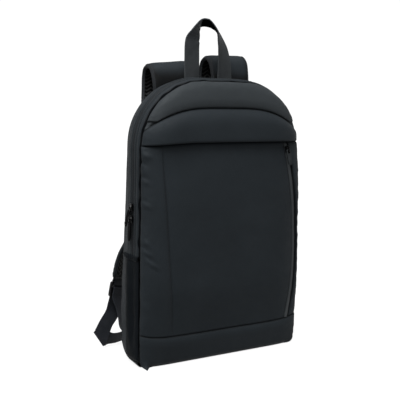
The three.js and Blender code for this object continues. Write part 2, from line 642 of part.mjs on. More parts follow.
// Everything on the left shoulder strap
function makeStrap(side) {
  const strap = new THREE.Group();
  const frame = buckleFrame();
  const padRoute = routeThrough(
    STRAP_ROUTE.map(({ x, y, z, width, turn, lean, top }) => {
      const angle = THREE.MathUtils.degToRad(turn);
      const middle = new THREE.Vector3(x, y, z + top * STRAP_RISE[side]);
      const lift = lean + top * STRAP_TILT[side];
      return { middle, width, direction: new THREE.Vector3(-Math.cos(angle), -Math.sin(angle), lift) };
    }),
  );
  const half = (STRAP.thickness + STRAP.meshThickness + SEAM_GAP) / 2;
  const outerFaces = { outer: half, inner: half - STRAP.thickness };
  const meshFaces = { outer: STRAP.meshThickness - half, inner: -half };
  strap.add(strip(`strap_${side}`, 36, padRoute, outerFaces, LOOK.shell));
  strap.add(strip(`strap_mesh_${side}`, 36, padRoute, meshFaces, LOOK.back));

  const thin = { outer: WEBBING.thickness / 2, inner: -WEBBING.thickness / 2 };
  const loopRows = END_LOOP_ROUTE.map((row) => buckleRow(row, frame));
  strap.add(strip(`strap_end_loop_${side}`, 24, routeThrough(loopRows), thin, LOOK.webbing));
  strap.add(makeBuckle(side, frame));

  const freeRow = ({ x, y, z, wx, wy, wz, slant = 0 }) => ({
    middle: new THREE.Vector3(x, y, z),
    width: WEBBING.width * (1 + FOLD_STRETCH * slant),
    direction: new THREE.Vector3(wx, wy, wz),
    slant,
  });
  const inBuckle = BUCKLE_ROUTE.map((row) => buckleRow(row, frame));
  const webbingRows = [...WEBBING_RISE.map(freeRow), ...inBuckle, ...WEBBING_TAIL.map(freeRow)];
  strap.add(strip(`webbing_${side}`, 54, routeThrough(webbingRows), thin, LOOK.webbing));
  return strap;
}

// Closed geometry as a solid, for joining
function solid(geometry) {
  geometry.deleteAttribute("normal");
  geometry.deleteAttribute("uv");
  const merged = mergeVertices(geometry);
  const vertProperties = new Float32Array(merged.getAttribute("position").array);
  const triVerts = new Uint32Array(merged.index.array);
  return new wasm.Manifold(new wasm.Mesh({ numProp: 3, vertProperties, triVerts }));
}

function joined(first, second) {
  const mesh = solid(first).add(solid(second)).getMesh();
  const geometry = new THREE.BufferGeometry();
  const spots = new Float32Array(mesh.vertProperties);
  geometry.setAttribute("position", new THREE.BufferAttribute(spots, 3));
  geometry.setIndex(new THREE.BufferAttribute(new Uint32Array(mesh.triVerts), 1));
  return geometry;
}

// Slider body with a bridge over it that holds the pull
function makeSlider(name) {
  const { width, length, height } = SLIDER;
  const body = new THREE.BoxGeometry(width, length, height).translate(0, 0, height / 2);
  const side = new THREE.Shape();
  const bar = BRIDGE.bar;
  const end = BRIDGE.length / 2;
  const low = height - BRIDGE.sink;
  const top = low + BRIDGE.height;
  side.moveTo(-end, low);
  side.lineTo(-end, top - bar);
  side.lineTo(-end + bar, top);
  side.lineTo(end - bar, top);
  side.lineTo(end, top - bar);
  side.lineTo(end, low);
  side.lineTo(end - bar, low);
  side.lineTo(end - bar, top - bar);
  side.lineTo(-end + bar, top - bar);
  side.lineTo(-end + bar, low);
  side.closePath();
  const bridge = new THREE.ExtrudeGeometry(side, { depth: BRIDGE.width, bevelEnabled: false });
  bridge.translate(0, 0, -BRIDGE.width / 2);
  const across = new THREE.Vector3(1, 0, 0);
  const along = new THREE.Vector3(0, 1, 0);
  const off = new THREE.Vector3(0, 0, 1);
  bridge.applyMatrix4(new THREE.Matrix4().makeBasis(along, off, across));
  return piece(name, joined(body, bridge), LOOK.metal);
}

// Pull tab hanging from its top bar, with its origin on the bar
function makePull(name, length) {
  const { width, thickness, hole, bar } = PULL;
  const half = width / 2;
  const tab = new THREE.Shape();
  tab.moveTo(-half, bar / 2);
  tab.lineTo(-half, half - length);
  tab.absarc(0, half - length, half, Math.PI, Math.PI * 2, false);
  tab.lineTo(half, bar / 2);
  tab.closePath();
  const eye = new THREE.Path();
  eye.moveTo(-hole / 2, -bar / 2);
  eye.lineTo(hole / 2, -bar / 2);
  eye.lineTo(hole / 2, -bar / 2 - hole);
  eye.lineTo(-hole / 2, -bar / 2 - hole);
  eye.closePath();
  tab.holes.push(eye);
  const extrusion = { depth: thickness, bevelEnabled: false, curveSegments: 8 };
  const geometry = new THREE.ExtrudeGeometry(tab, extrusion);
  geometry.translate(0, 0, -thickness / 2);
  return piece(name, geometry, LOOK.plastic);
}

// A slider with its pull on a surface: up is along the zip, normal points off the cloth
function sliderOnCloth({ slider, pull, spot, up, normal, lean, length }) {
  const group = new THREE.Group();
  const across = up.clone().cross(normal).normalize();
  const along = normal.clone().cross(across);
  group.position.copy(spot).addScaledVector(normal, GAP);
  group.quaternion.setFromRotationMatrix(new THREE.Matrix4().makeBasis(across, along, normal));
  const tab = makePull(pull, length);
  tab.position.set(0, PULL.pivotY, PULL.pivotZ);
  tab.rotation.z = THREE.MathUtils.degToRad(lean);
  group.add(makeSlider(slider), tab);
  return group;
}

function makeSliders() {
  const sliders = new THREE.Group();
  const left = new THREE.Vector3(-1, 0, 0);
  const up = new THREE.Vector3(0, 0, 1);
  for (const { name, pull, z, lean, length } of MAIN_SLIDERS) {
    const spot = gussetPoint(-halfWidth(z), z, new THREE.Vector2(-1, 0), MAIN_ZIP.y);
    sliders.add(sliderOnCloth({ slider: name, pull, spot, up, normal: left, lean, length }));
  }

  const onZip = (z, across = 0) => {
    const x = frontZipX(z) + across;
    return new THREE.Vector3(x, frontY(x, z), z);
  };
  const reach = SLIDER.length / 2;
  const along = onZip(FRONT_SLIDER_Z + reach).sub(onZip(FRONT_SLIDER_Z - reach)).normalize();
  const edge = FRONT_ZIP.halfWidth;
  const sideways = onZip(FRONT_SLIDER_Z, edge).sub(onZip(FRONT_SLIDER_Z, -edge)).normalize();
  sliders.add(
    sliderOnCloth({
      slider: "front_zip_slider",
      pull: "front_zip_pull",
      spot: onZip(FRONT_SLIDER_Z),
      up: along,
      normal: sideways.cross(along).normalize(),
      lean: 0,
      length: FRONT_PULL_LENGTH,
    }),
  );
  return sliders;
}

// The pieces that each side has, as seen on the left
function makeSide(side) {
  const group = new THREE.Group();
  group.add(makeTuck(`corner_tuck_${side}`), makeSidePanel(`side_panel_${side}`));
  group.add(makePocket(side), makeStrap(side));
  return group;
}

const rightSide = makeSide("right");
rightSide.scale.x = -1;

const backpack = new THREE.Group();
backpack.add(makeFront(), makeGusset(), makeBase(), makeBackPanel());
backpack.add(makeSide("left"), rightSide, makeHandle(), makeSliders());

export default backpack;
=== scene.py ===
import math

import bmesh
import bpy
from mathutils import Matrix, Vector, noise


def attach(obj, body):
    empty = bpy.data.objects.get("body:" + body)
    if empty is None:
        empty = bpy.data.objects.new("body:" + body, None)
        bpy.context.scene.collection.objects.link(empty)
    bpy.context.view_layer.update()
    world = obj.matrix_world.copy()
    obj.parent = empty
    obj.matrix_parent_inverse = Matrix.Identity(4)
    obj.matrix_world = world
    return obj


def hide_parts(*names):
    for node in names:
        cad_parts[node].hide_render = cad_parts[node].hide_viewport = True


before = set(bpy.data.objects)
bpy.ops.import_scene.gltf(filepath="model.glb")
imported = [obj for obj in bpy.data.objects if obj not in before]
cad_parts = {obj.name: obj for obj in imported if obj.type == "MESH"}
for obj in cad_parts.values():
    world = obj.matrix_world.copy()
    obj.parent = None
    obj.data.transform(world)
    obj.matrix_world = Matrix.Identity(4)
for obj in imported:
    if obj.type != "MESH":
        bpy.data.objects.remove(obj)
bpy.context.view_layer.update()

MM = 0.001

# Sizes of the body in millimetres, in the frame of the part: +Z is up and the front faces -Y.
HALF_WIDTH_LOW = 148.0
HALF_WIDTH_HIGH = 143.5
SHOULDER_HEIGHT = 339.0
TOP_RADIUS = 106.0
TOP_HEIGHT = SHOULDER_HEIGHT + TOP_RADIUS
TOP_ARC_X = HALF_WIDTH_HIGH - TOP_RADIUS
FOOT_RADIUS = 9.0
FRONT_SEAM_Y = -31.0
FRONT_EDGE_ROUND = 46.0
FRONT_SWELL = [(0, 7), (50, 14), (130, 18), (250, 18), (346, 15), (403, 14), (446, 12)]
BACK_SEAM = [(0, 33), (40, 33), (75, 35), (110, 33), (170, 27), (258, 20), (337, 15.5), (460, 16)]

# Seams of the front
FLAP_SEAM_Z = 346.0
FLAP_SEAM_RISE = 4.0
FLAP_TOP_Z = FLAP_SEAM_Z + FLAP_SEAM_RISE
ARCH_PEAK_Z = 403.0
ARCH_DROP = 37.0
YOKE_END_Z = 381.0
YOKE_RIM_RISE = 3.0
FRONT_LOW_Z = 0.3
BASE_SEAM_Z = 47.0
BASE_SEAM_RISE = 7.0
LEFT_SEAM_LOW_X = -94.0
LEFT_SEAM_HIGH_X = -113.0
FRONT_ZIP_BOW_X = 134.5
FRONT_ZIP_BOW_Z = 165.0
FRONT_ZIP_TOP_DROP = 23.5
FRONT_ZIP_LOW_DROP = 13.5
FRONT_ZIP_HALF = 4.5
CREASE_GAP = -0.3
SIDE_START_Y = FRONT_SEAM_Y + CREASE_GAP

# Gusset, base, back and pockets
GUSSET_LOW_Z = 172.0
GUSSET_SWELL = 3.0
GUSSET_TOP_LIFT = 2.5
BACK_EDGE = 6.2
MAIN_ZIP_Y = -12.0
MAIN_ZIP_HALF = 5.0
ZIP_FRONT_Y = MAIN_ZIP_Y - MAIN_ZIP_HALF
ZIP_BACK_Y = MAIN_ZIP_Y + MAIN_ZIP_HALF
BASE_ARC_Y = 5.5
BASE_ARC_RADIUS = 30.0
BASE_TOP_Z = 37.0
SIDE_TOP_Z = 181.0
POCKET_LOW_Z = 15.0
POCKET_TOP_Z = 168.0
POCKET_LOW_BACK_Y = 7.0
POCKET_TOP_BACK_Y = 15.0
POCKET_HOLLOW = 10.0
POCKET_HOLLOW_TOP_Z = 200.0
HEM_TOP_Z = 177.0

# Handle from its left foot to its right foot: x, z, turn of the strip and tilt of its width, in degrees
HANDLE_Y = 18.4
HANDLE_WIDTH = 27.0
HANDLE_THICKNESS = 2.4
HANDLE_ROUTE = [
    (-31, 445, 0, 23), (-31, 479.6, 0, 20), (-30, 508.7, -3, 18), (-25.6, 518.6, -25, 15),
    (-20.6, 529.6, -49, 15), (-14, 538.1, -66, 17), (-6.9, 538.7, -74, 22), (5.2, 534, -64, 7),
    (13, 528.5, -68, -7), (17.6, 523, -60, -18), (21.7, 512.4, -46, -22), (26.6, 496.7, -27, -21),
    (29.4, 475, -11, -17), (29.8, 445, 0, -12),
]
# Stretch of the handle's route, as shares of it, under the dark sheet of painted shade
HANDLE_GRIP = (0.375, 0.7)
GRIP_SHADE_SHEET_WIDTH = 26.2
GRIP_SHADE_SHEET_THICKNESS = 0.6

# Left shoulder strap: x, y, z, width, turn of its outer edge towards the bag in degrees,
# lift of that edge, and how much of the side's rise and tilt applies
STRAP_HALF_THICKNESS = 4.9
STRAP_RISE = {"left": 0.0, "right": 15.0}
STRAP_TILT = {"left": -0.1, "right": 0.03}
STRAP_ROUTE = [
    (-54, 37.5, 412, 62, 0, 0, 0), (-54, 41.5, 450, 66, 0, 0, 0.6), (-54, 49, 467, 68, 0, 0, 0.9),
    (-54, 61, 473, 69, 0, 0, 1), (-53.5, 73, 469, 70, 0, 0, 0.9), (-53, 79, 455, 70, 0, 0, 0.7),
    (-54, 77, 428, 71, 0, 0, 0.3), (-60, 69, 388, 72, 3, 0, 0), (-78, 64, 320, 70, 13, 0, 0),
    (-93, 67, 255, 64, 27, 0.05, 0), (-102, 76, 212, 58, 41, 0.12, 0), (-109, 85, 180, 54, 51, 0.19, 0),
    (-123, 90, 152, 50, 54, 0.2, 0), (-131.5, 86, 116, 46, 45, 0.2, 0),
]

# Left webbing: up from the base seam, round the middle bar of the buckle, and its tail to the fold
# and along the floor. Free rows are x, y, z, the width direction, and how far the width keeps to it
# instead of square to the strip; rows in the buckle are along the strap and out from its middle plane.
WEBBING_WIDTH = 25.0
WEBBING_THICKNESS = 1.4
BUCKLE_DISTANCE = 18.5
BUCKLE_ACROSS = (-0.9, -0.42, 0.15)
WEBBING_RISE = [
    (-137, 36.2, 24, 0, 0, -1, 0), (-137, 43, 24, 0.1, 0, -0.99, 0), (-137.5, 56, 34, 0.45, 0.2, -0.87, 0),
    (-133.5, 67, 49, 0.7, 0.3, -0.65, 0), (-132.5, 75, 66, 0.85, 0.4, -0.35, 0),
]
BUCKLE_ROUTE = [
    (12, -3.3), (2, -3.3), (-2.6, -3.1), (-4.9, 0), (-2.6, 3.1), (2, 3.3), (12, 3.3), (20, 3.8),
]
FOLD_STRETCH = 0.28
WEBBING_TAIL = [
    (-146, 82, 59.4, 0.83, -0.09, -0.55, 0), (-157.5, 81, 42.5, 0.82, -0.05, -0.57, 0),
    (-164, 80.5, 29.5, 0.74, 0, -0.67, 0.4), (-168, 80.8, 20.5, 0.53, 0, -0.85, 1),
    (-170.4, 82.6, 16.8, 0.53, 0, -0.85, 1), (-166, 84.4, 16.8, 0.53, 0, -0.85, 1),
    (-157, 85.8, 15.2, 0.3, 0.22, -0.92, 0.5), (-147.5, 86.8, 13.2, 0.05, 0.45, -0.88, 0),
    (-138, 87.6, 12.4, 0, 0.5, -0.86, 0), (-122, 93, 12.2, -0.1, 0.5, -0.86, 0),
    (-108, 99, 12.2, -0.1, 0.5, -0.86, 0),
]
END_LOOP_ROUTE = [
    (-17.7, 2.2), (-14, 3), (-11, 3.3), (-7.9, 3.1), (-6.3, 0), (-7.9, -3.1), (-11, -3.3),
    (-14, -3), (-17.7, -2.2),
]

# Folds that show on the front: x, z, turn in degrees, half length, half width and height
FRONT_FOLDS = [
    (-139, 200, -48, 8, 2.6, 1.7),
    (-141, 191, -50, 8, 2.0, -1.9),
    (-139, 185, -46, 9, 2.8, 1.8),
    (-134, 176, -44, 10, 2.2, -1.6),
    (-131, 166, -40, 10, 2.6, 1.5),
    (-126, 158, -40, 9, 2.2, -1.1),
    (-139, 331, -15, 9, 4.5, 2.2),
    (-142, 320, -35, 7, 2.6, -1.8),
    (-142, 300, -30, 7, 2.6, -1.8),
    (-141, 292, -30, 8, 3.6, 1.4),
    (-142, 265, -30, 7, 2.6, -1.7),
    (-140, 257, -35, 8, 3.2, 1.3),
    (140, 300, 25, 9, 3.0, 1.2),
    (141, 262, 20, 9, 3.0, 1.1),
    (142, 228, 25, 9, 3.4, 1.4),
    (142, 190, 22, 9, 3.2, 1.1),
]

# Slack of the cloths: height of the waves, layer of the noise they come from, and their length
FRONT_SLACK = [(0.8, 1.7, 75), (0.22, 3.9, 26)]
FRONT_GATHERS = [(1.43, 5.3, 16), (0.77, 9.1, 7)]
GATHER_REACH = 9.0
GUSSET_SLACK = [(0.5, 6.6, 34), (0.25, 2.4, 12)]
GUSSET_GATHERS = [(1.04, 5.3, 16), (0.56, 9.1, 7)]
GUSSET_GATHER_REACH = 5.0
SIDE_SLACK = [(0.7, 7.5, 26), (0.3, 1.1, 10)]
TUCK_CRUMPLE = {"left": [(1.5, 8.8, 6), (0.8, 4.1, 3)], "right": [(1.5, 9.8, 6), (0.8, 4.1, 3)]}
POCKET_SLACK = [(0.9, 3.3, 22)]
WELT_SLACK = [(0.25, 2.2, 9)]
STRAP_SLACK = {1.0: [(0.35, 5.4, 24)], -1.0: [(0.35, 3.4, 24)]}
# Waves of the crease round the front and of the dark strip of painted shade in it: layer and length
CREASE_WAVE = (12.1, 17)
CREASE_SHADE_WAVE = (4.2, 18)


# Shapes and lines


def lerp(a, b, t):
    return a + (b - a) * t


def clamp(t, low=0.0, high=1.0):
    return max(low, min(high, t))


def smooth(value, low, high):
    t = clamp((value - low) / (high - low))
    return t * t * (3 - 2 * t)


def bell(distance, width):
    """1 at no distance, fading to nothing over about twice the width."""
    return math.exp(-((distance / width) ** 2))


def at_height(rows, z):
    for (low_z, low), (high_z, high) in zip(rows, rows[1:]):
        if z <= high_z:
            return lerp(low, high, smooth(z, low_z, high_z))
    return rows[-1][1]


def back_seam_y(z):
    return at_height(BACK_SEAM, z)


def half_width(z):
    if z >= SHOULDER_HEIGHT:
        rise = min(z - SHOULDER_HEIGHT, TOP_RADIUS)
        return TOP_ARC_X + math.sqrt(TOP_RADIUS**2 - rise**2)
    side = lerp(HALF_WIDTH_LOW, HALF_WIDTH_HIGH, z / SHOULDER_HEIGHT)
    if z >= FOOT_RADIUS:
        return side
    return side - FOOT_RADIUS + math.sqrt(FOOT_RADIUS**2 - (FOOT_RADIUS - z) ** 2)


def inside_edge(x, z):
    """Distance in from the outline of the front."""
    across = abs(x)
    if z <= SHOULDER_HEIGHT:
        return max(half_width(z) - across, 0.0)
    if across <= TOP_ARC_X:
        return max(TOP_HEIGHT - z, 0.0)
    return max(TOP_RADIUS - math.hypot(across - TOP_ARC_X, z - SHOULDER_HEIGHT), 0.0)


def outline_normal(x, z):
    """Direction out of the outline of the front, in x and z."""
    if z <= SHOULDER_HEIGHT:
        return math.copysign(1.0, x), 0.0
    across = max(abs(x) - TOP_ARC_X, 0.0)
    rise = z - SHOULDER_HEIGHT
    length = math.hypot(across, rise)
    return math.copysign(across / length, x), rise / length


def rounded(distance, width):
    t = clamp(distance / width)
    return math.sqrt(1 - (1 - t) ** 2)


def turn_in(distance, width):
    """How far cloth has rolled into a seam: 1 on the seam, 0 from the given width."""
    return 1 - rounded(distance, width)


def front_y(x, z):
    return FRONT_SEAM_Y - at_height(FRONT_SWELL, z) * rounded(inside_edge(x, z), FRONT_EDGE_ROUND)


def pillow(u, v):
    return (1 - (2 * u - 1) ** 6) * (1 - (2 * v - 1) ** 4)


def ripple(a, b, layer, size):
    return noise.noise(Vector((a / size, b / size, layer)))


def waves(a, b, rows):
    """Slack of cloth, from rows of height, layer of noise and length of the waves."""
    return sum(height * ripple(a, b, layer, size) for height, layer, size in rows)


def roll_in(distance, roll):
    """How deep cloth goes into a seam, for a roll of (depth, width)."""
    depth, width = roll
    return depth * turn_in(distance, width)


def ridge(distance, line):
    """Height of a raised or sunk line of (height, distance, width)."""
    height, middle, width = line
    return height * bell(distance - middle, width)


def fold_height(x, z):
    height = 0.0
    for fold_x, fold_z, turn, length, width, top in FRONT_FOLDS:
        dx, dz = x - fold_x, z - fold_z
        if abs(dx) + abs(dz) > 4 * length:
            continue
        c, s = math.cos(math.radians(turn)), math.sin(math.radians(turn))
        height += top * bell(c * dx + s * dz, length) * bell(c * dz - s * dx, width)
    return height


def front_relief(x, z):
    """Slack, gathers and folds of the front cloth, out from its smooth shape."""
    gathers = waves(x, z, FRONT_GATHERS) * math.exp(-inside_edge(x, z) / GATHER_REACH)
    return waves(x, z, FRONT_SLACK) + gathers + fold_height(x, z)


# Seams: s runs from -1 at the left edge of the front to 1 at the right edge.
def base_seam(s):
    return BASE_SEAM_Z + BASE_SEAM_RISE * s**6


def flap_seam(s):
    return FLAP_SEAM_Z + FLAP_SEAM_RISE * smooth(s, -1.0, -0.35)


def arch_seam(s):
    return ARCH_PEAK_Z - ARCH_DROP * s**4


def yoke_seam(s):
    return max(arch_seam(s), YOKE_END_Z)


def left_seam(z):
    share = (z - BASE_SEAM_Z) / (FLAP_SEAM_Z - BASE_SEAM_Z)
    return lerp(LEFT_SEAM_LOW_X, LEFT_SEAM_HIGH_X, share)


def front_zip_x(z):
    if z > FRONT_ZIP_BOW_Z:
        share = (z - FRONT_ZIP_BOW_Z) / (FLAP_SEAM_Z - FRONT_ZIP_BOW_Z)
        return FRONT_ZIP_BOW_X - FRONT_ZIP_TOP_DROP * share**2
    share = (z - FRONT_ZIP_BOW_Z) / (FRONT_ZIP_BOW_Z - BASE_SEAM_Z)
    return FRONT_ZIP_BOW_X - FRONT_ZIP_LOW_DROP * share**2


def crowded(t):
    """Spaces the rows of a grid closer together near both of its edges."""
    return lerp(t, 0.5 - 0.5 * math.cos(math.pi * t), 0.75)


def seam_shade(*distances):
    """Nearness to the closest of several seams, for the painted shade there: 1 on it, 0 from the reach of the
    shade.
    """
    return max(0.0, 1 - min(distances) / SEAM_SHADE)


# Materials


def add_node(tree, kind, inputs=None, **settings):
    """A node with its settings, and each input set to a value or linked to another node's output."""
    node = tree.nodes.new(kind)
    for key, value in settings.items():
        setattr(node, key, value)
    for key, value in (inputs or {}).items():
        if isinstance(value, bpy.types.NodeSocket):
            tree.links.new(value, node.inputs[key])
        else:
            node.inputs[key].default_value = value
    return node


def new_material(name, roughness, specular, sheen=0.0, sheen_roughness=0.5, metallic=0.0):
    material = bpy.data.materials.new(name)
    material.use_nodes = True
    tree = material.node_tree
    shader = tree.nodes["Principled BSDF"]
    shader.inputs["Roughness"].default_value = roughness
    shader.inputs["Specular IOR Level"].default_value = specular
    shader.inputs["Sheen Weight"].default_value = sheen
    shader.inputs["Sheen Roughness"].default_value = sheen_roughness
    shader.inputs["Metallic"].default_value = metallic
    return material, tree, shader


def mix_colour(tree, share, a, b, blend="MIX"):
    node = add_node(tree, "ShaderNodeMix", {0: share, 6: a, 7: b}, data_type="RGBA", blend_type=blend)
    return node.outputs[2]


def math_node(tree, operation, a, b=0.0):
    return add_node(tree, "ShaderNodeMath", {0: a, 1: b}, operation=operation).outputs[0]


def weighted(tree, a, b, share):
    """The first value by its share and the second by the rest."""
    part = math_node(tree, "MULTIPLY", a, share)
    rest = math_node(tree, "MULTIPLY", b, 1 - share)
    return math_node(tree, "ADD", part, rest)


def spread(tree, value, low, high, to_low, to_high):
    ends = {"From Min": low, "From Max": high, "To Min": to_low, "To Max": to_high}
    return add_node(tree, "ShaderNodeMapRange", {"Value": value, **ends}).outputs["Result"]


def cloudy(tree, scale, low, high, detail=3.0, contrast=0.2):
    """Soft patches between two values."""
    return spread(tree, object_noise(tree, scale, detail), 0.5 - contrast, 0.5 + contrast, low, high)


def seam_tone(tree, at_seam):
    """Factor on the colour from the seam attribute: 1 on open cloth, going to the given value at a seam or
    rim; below 1 it is painted shade, above 1 lighter wear.
    """
    near = add_node(tree, "ShaderNodeAttribute", attribute_name="seam").outputs["Fac"]
    return spread(tree, near, 0.0, 1.0, 1.0, at_seam)


def multiplied(tree, base, shade):
    return mix_colour(tree, 1.0, base, shade, "MULTIPLY")


def set_surface(tree, shader, base, height, strength, relief):
    """Gives a shader its colour, and a bump of the given relief in millimetres."""
    tree.links.new(base, shader.inputs["Base Color"])
    bump = add_node(tree, "ShaderNodeBump", {"Height": height, "Strength": strength, "Distance": relief * MM})
    tree.links.new(bump.outputs["Normal"], shader.inputs["Normal"])


def object_noise(tree, scale, detail=3.0):
    place = add_node(tree, "ShaderNodeTexCoord").outputs["Object"]
    cloud = add_node(tree, "ShaderNodeTexNoise", {"Vector": place, "Scale": scale, "Detail": detail})
    return cloud.outputs["Fac"]


def cloth_uv(tree):
    return add_node(tree, "ShaderNodeUVMap", uv_map="cloth").outputs["UV"]


def thread_wave(tree, uv, direction, pitch):
    """Rounded threads of the given pitch in metres."""
    scale = 2 * math.pi / 20 / pitch
    wave = add_node(tree, "ShaderNodeTexWave", {"Vector": uv, "Scale": scale}, bands_direction=direction)
    return wave.outputs["Fac"]


def colour(red, green, blue):
    return (red, green, blue, 1.0)


def woven_cloth(name, dark, light, thread, relief, roughness, specular, sheen):
    """Plain weave: over and under threads, mottled yarn, painted shade in the grooves between threads and at
    seams, and rubbed folds.
    """
    material, tree, shader = new_material(name, roughness, specular, sheen, WOVEN_SHEEN_ROUGHNESS)
    uv = cloth_uv(tree)
    warp = thread_wave(tree, uv, "X", thread * MM)
    weft = thread_wave(tree, uv, "Y", thread * MM)
    over = add_node(tree, "ShaderNodeTexChecker", {"Vector": uv, "Scale": 1 / (thread * MM)})
    weave = add_node(tree, "ShaderNodeMix", {0: over.outputs["Fac"], 2: warp, 3: weft}, data_type="FLOAT")
    height = weave.outputs[0]

    yarn_place = add_node(tree, "ShaderNodeMapping", {"Vector": uv, "Scale": YARN_SCALE}).outputs[0]
    yarn = add_node(tree, "ShaderNodeTexNoise", {"Vector": yarn_place, "Scale": 1.0, "Detail": 1.0})
    tone = weighted(tree, object_noise(tree, PATCH_SCALE), yarn.outputs["Fac"], PATCH_SHARE)
    base = mix_colour(tree, spread(tree, tone, 0.32, 0.68, 0.0, 1.0), dark, light)
    # Painted shade: the grooves between the threads are darker
    groove_shaded = multiplied(tree, base, spread(tree, height, 0.0, 0.6, 0.78, 1.0))
    # Painted shade at seams, creases and hollows, from the seam attribute
    shaded = multiplied(tree, groove_shaded, seam_tone(tree, WOVEN_PAINTED_SEAM_SHADE))
    set_surface(tree, shader, shaded, height, 0.6, relief)
    rub = cloudy(tree, RUB_SCALE, roughness - RUB, roughness + RUB)
    tree.links.new(rub, shader.inputs["Roughness"])
    return material


def air_mesh_cloth(name, hole, thread, cell):
    """Spacer mesh: staggered open cells between knitted threads."""
    material, tree, shader = new_material(name, 0.8, 0.08, 0.03)
    spot = add_node(tree, "ShaderNodeTexCoord").outputs["Object"]
    turned = add_node(tree, "ShaderNodeMapping", {"Vector": spot, "Rotation": (math.pi / 2, 0.0, 0.0)})
    cells = add_node(
        tree, "ShaderNodeTexBrick",
        {"Vector": turned.outputs[0], "Color1": colour(0, 0, 0), "Color2": colour(0, 0, 0),
         "Mortar": colour(1, 1, 1), "Scale": 1.0, "Mortar Size": cell * MM * 0.3, "Mortar Smooth": 0.9,
         "Brick Width": cell * MM, "Row Height": cell * MM * 0.8},
    )
    knit = cells.outputs["Fac"]
    base = multiplied(tree, mix_colour(tree, knit, hole, thread), cloudy(tree, *KNIT_CLOUD))
    set_surface(tree, shader, base, knit, *KNIT_RELIEF)
    return material


def zigzag_mesh(name, hole, thread, pitch, stripe):
    """Open knit whose ribs zigzag across the strap, with small holes between them."""
    material, tree, shader = new_material(name, 0.85, 0.02)
    uv = cloth_uv(tree)
    spot = add_node(tree, "ShaderNodeSeparateXYZ", {"Vector": uv}).outputs
    slant = math_node(tree, "PINGPONG", spot["Y"], stripe * MM)
    place = math_node(tree, "ADD", spot["X"], math_node(tree, "MULTIPLY", slant, ZIGZAG_SLOPE))
    ribs = math_node(tree, "SINE", math_node(tree, "MULTIPLY", place, 2 * math.pi / (pitch * MM)))
    rib = spread(tree, ribs, -0.1, 0.5, 0.0, 1.0)
    knit = weighted(tree, rib, thread_wave(tree, uv, "Y", 0.7 * pitch * MM), ZIGZAG_RIB_SHARE)
    # Painted shade near the strap's edges and inside its roll, from the seam attribute, over the cloudy knit
    # tone
    shade = math_node(tree, "MULTIPLY", cloudy(tree, *KNIT_CLOUD), seam_tone(tree, ZIGZAG_PAINTED_SHADE))
    base = multiplied(tree, mix_colour(tree, rib, hole, thread), shade)
    set_surface(tree, shader, base, knit, *KNIT_RELIEF)
    return material


def ribbed_webbing(name, dark, light, rib, specular):
    """Ribs along the strip, crossed by fine weft."""
    material, tree, shader = new_material(name, 0.6, specular, 0.01)
    uv = cloth_uv(tree)
    weft = thread_wave(tree, uv, "X", 0.55 * rib * MM)
    height = weighted(tree, thread_wave(tree, uv, "Y", rib * MM), weft, WEBBING_RIB_SHARE)
    base = mix_colour(tree, cloudy(tree, 90.0, 0.0, 1.0), dark, light)
    # Painted shade: the grooves between the ribs are darker
    groove_shaded = multiplied(tree, base, spread(tree, height, 0.0, 0.5, 0.6, 1.0))
    worn = multiplied(tree, groove_shaded, seam_tone(tree, WEBBING_EDGE_TONE))
    set_surface(tree, shader, worn, height, 0.7, 0.25)
    return material


def moulded(name, dark, light, roughness, specular, metallic=0.0):
    """Moulded plastic or cast metal: fine grain, cloudy tone and lighter rubbed edges."""
    material, tree, shader = new_material(name, roughness, specular, metallic=metallic)
    grains = object_noise(tree, 900.0, 2.0)
    base = mix_colour(tree, cloudy(tree, 120.0, 0.0, 1.0, contrast=0.15), dark, light)
    edges = add_node(tree, "ShaderNodeNewGeometry").outputs["Pointiness"]
    worn = multiplied(tree, base, spread(tree, edges, 0.5, 0.6, 1.0, 1.6))
    set_surface(tree, shader, worn, grains, 0.25, 0.1)
    grain_rub = spread(tree, grains, 0.3, 0.7, roughness - GRAIN_RUB, roughness + GRAIN_RUB)
    tree.links.new(grain_rub, shader.inputs["Roughness"])
    return material


def twisted_thread(name, dark, light):
    material, tree, shader = new_material(name, 0.6, 0.1)
    cloud = cloudy(tree, 500.0, 0.0, 1.0, contrast=0.15)
    tree.links.new(mix_colour(tree, cloud, dark, light), shader.inputs["Base Color"])
    return material


# Finishes of the materials. A patch is a wide change of tone, and a rub is a change of roughness.
WOVEN_SHEEN_ROUGHNESS = 0.45
# Darkest share of the woven colour in its painted seam shade
WOVEN_PAINTED_SEAM_SHADE = 0.1
YARN_SCALE = (1400.0, 220.0, 1.0)
PATCH_SCALE = 14.0
PATCH_SHARE = 0.55
RUB_SCALE = 60.0
RUB = 0.06
GRAIN_RUB = 0.08
KNIT_CLOUD = (220.0, 0.75, 1.15)
KNIT_RELIEF = (0.9, 0.9)
ZIGZAG_SLOPE = 0.8
ZIGZAG_RIB_SHARE = 0.85
# Darkest share of the zigzag mesh colour in its painted shade
ZIGZAG_PAINTED_SHADE = 0.12
WEBBING_RIB_SHARE = 0.7
WEBBING_EDGE_TONE = 1.25

# Woven cloths: dark and light yarn, thread and relief in millimetres, roughness, specular and sheen
SHELL = woven_cloth("shell_cloth", colour(0.0049, 0.0065, 0.0079), colour(0.0073, 0.0095, 0.0114),
                    0.55, 0.10, 0.66, 0.06, 0.01)
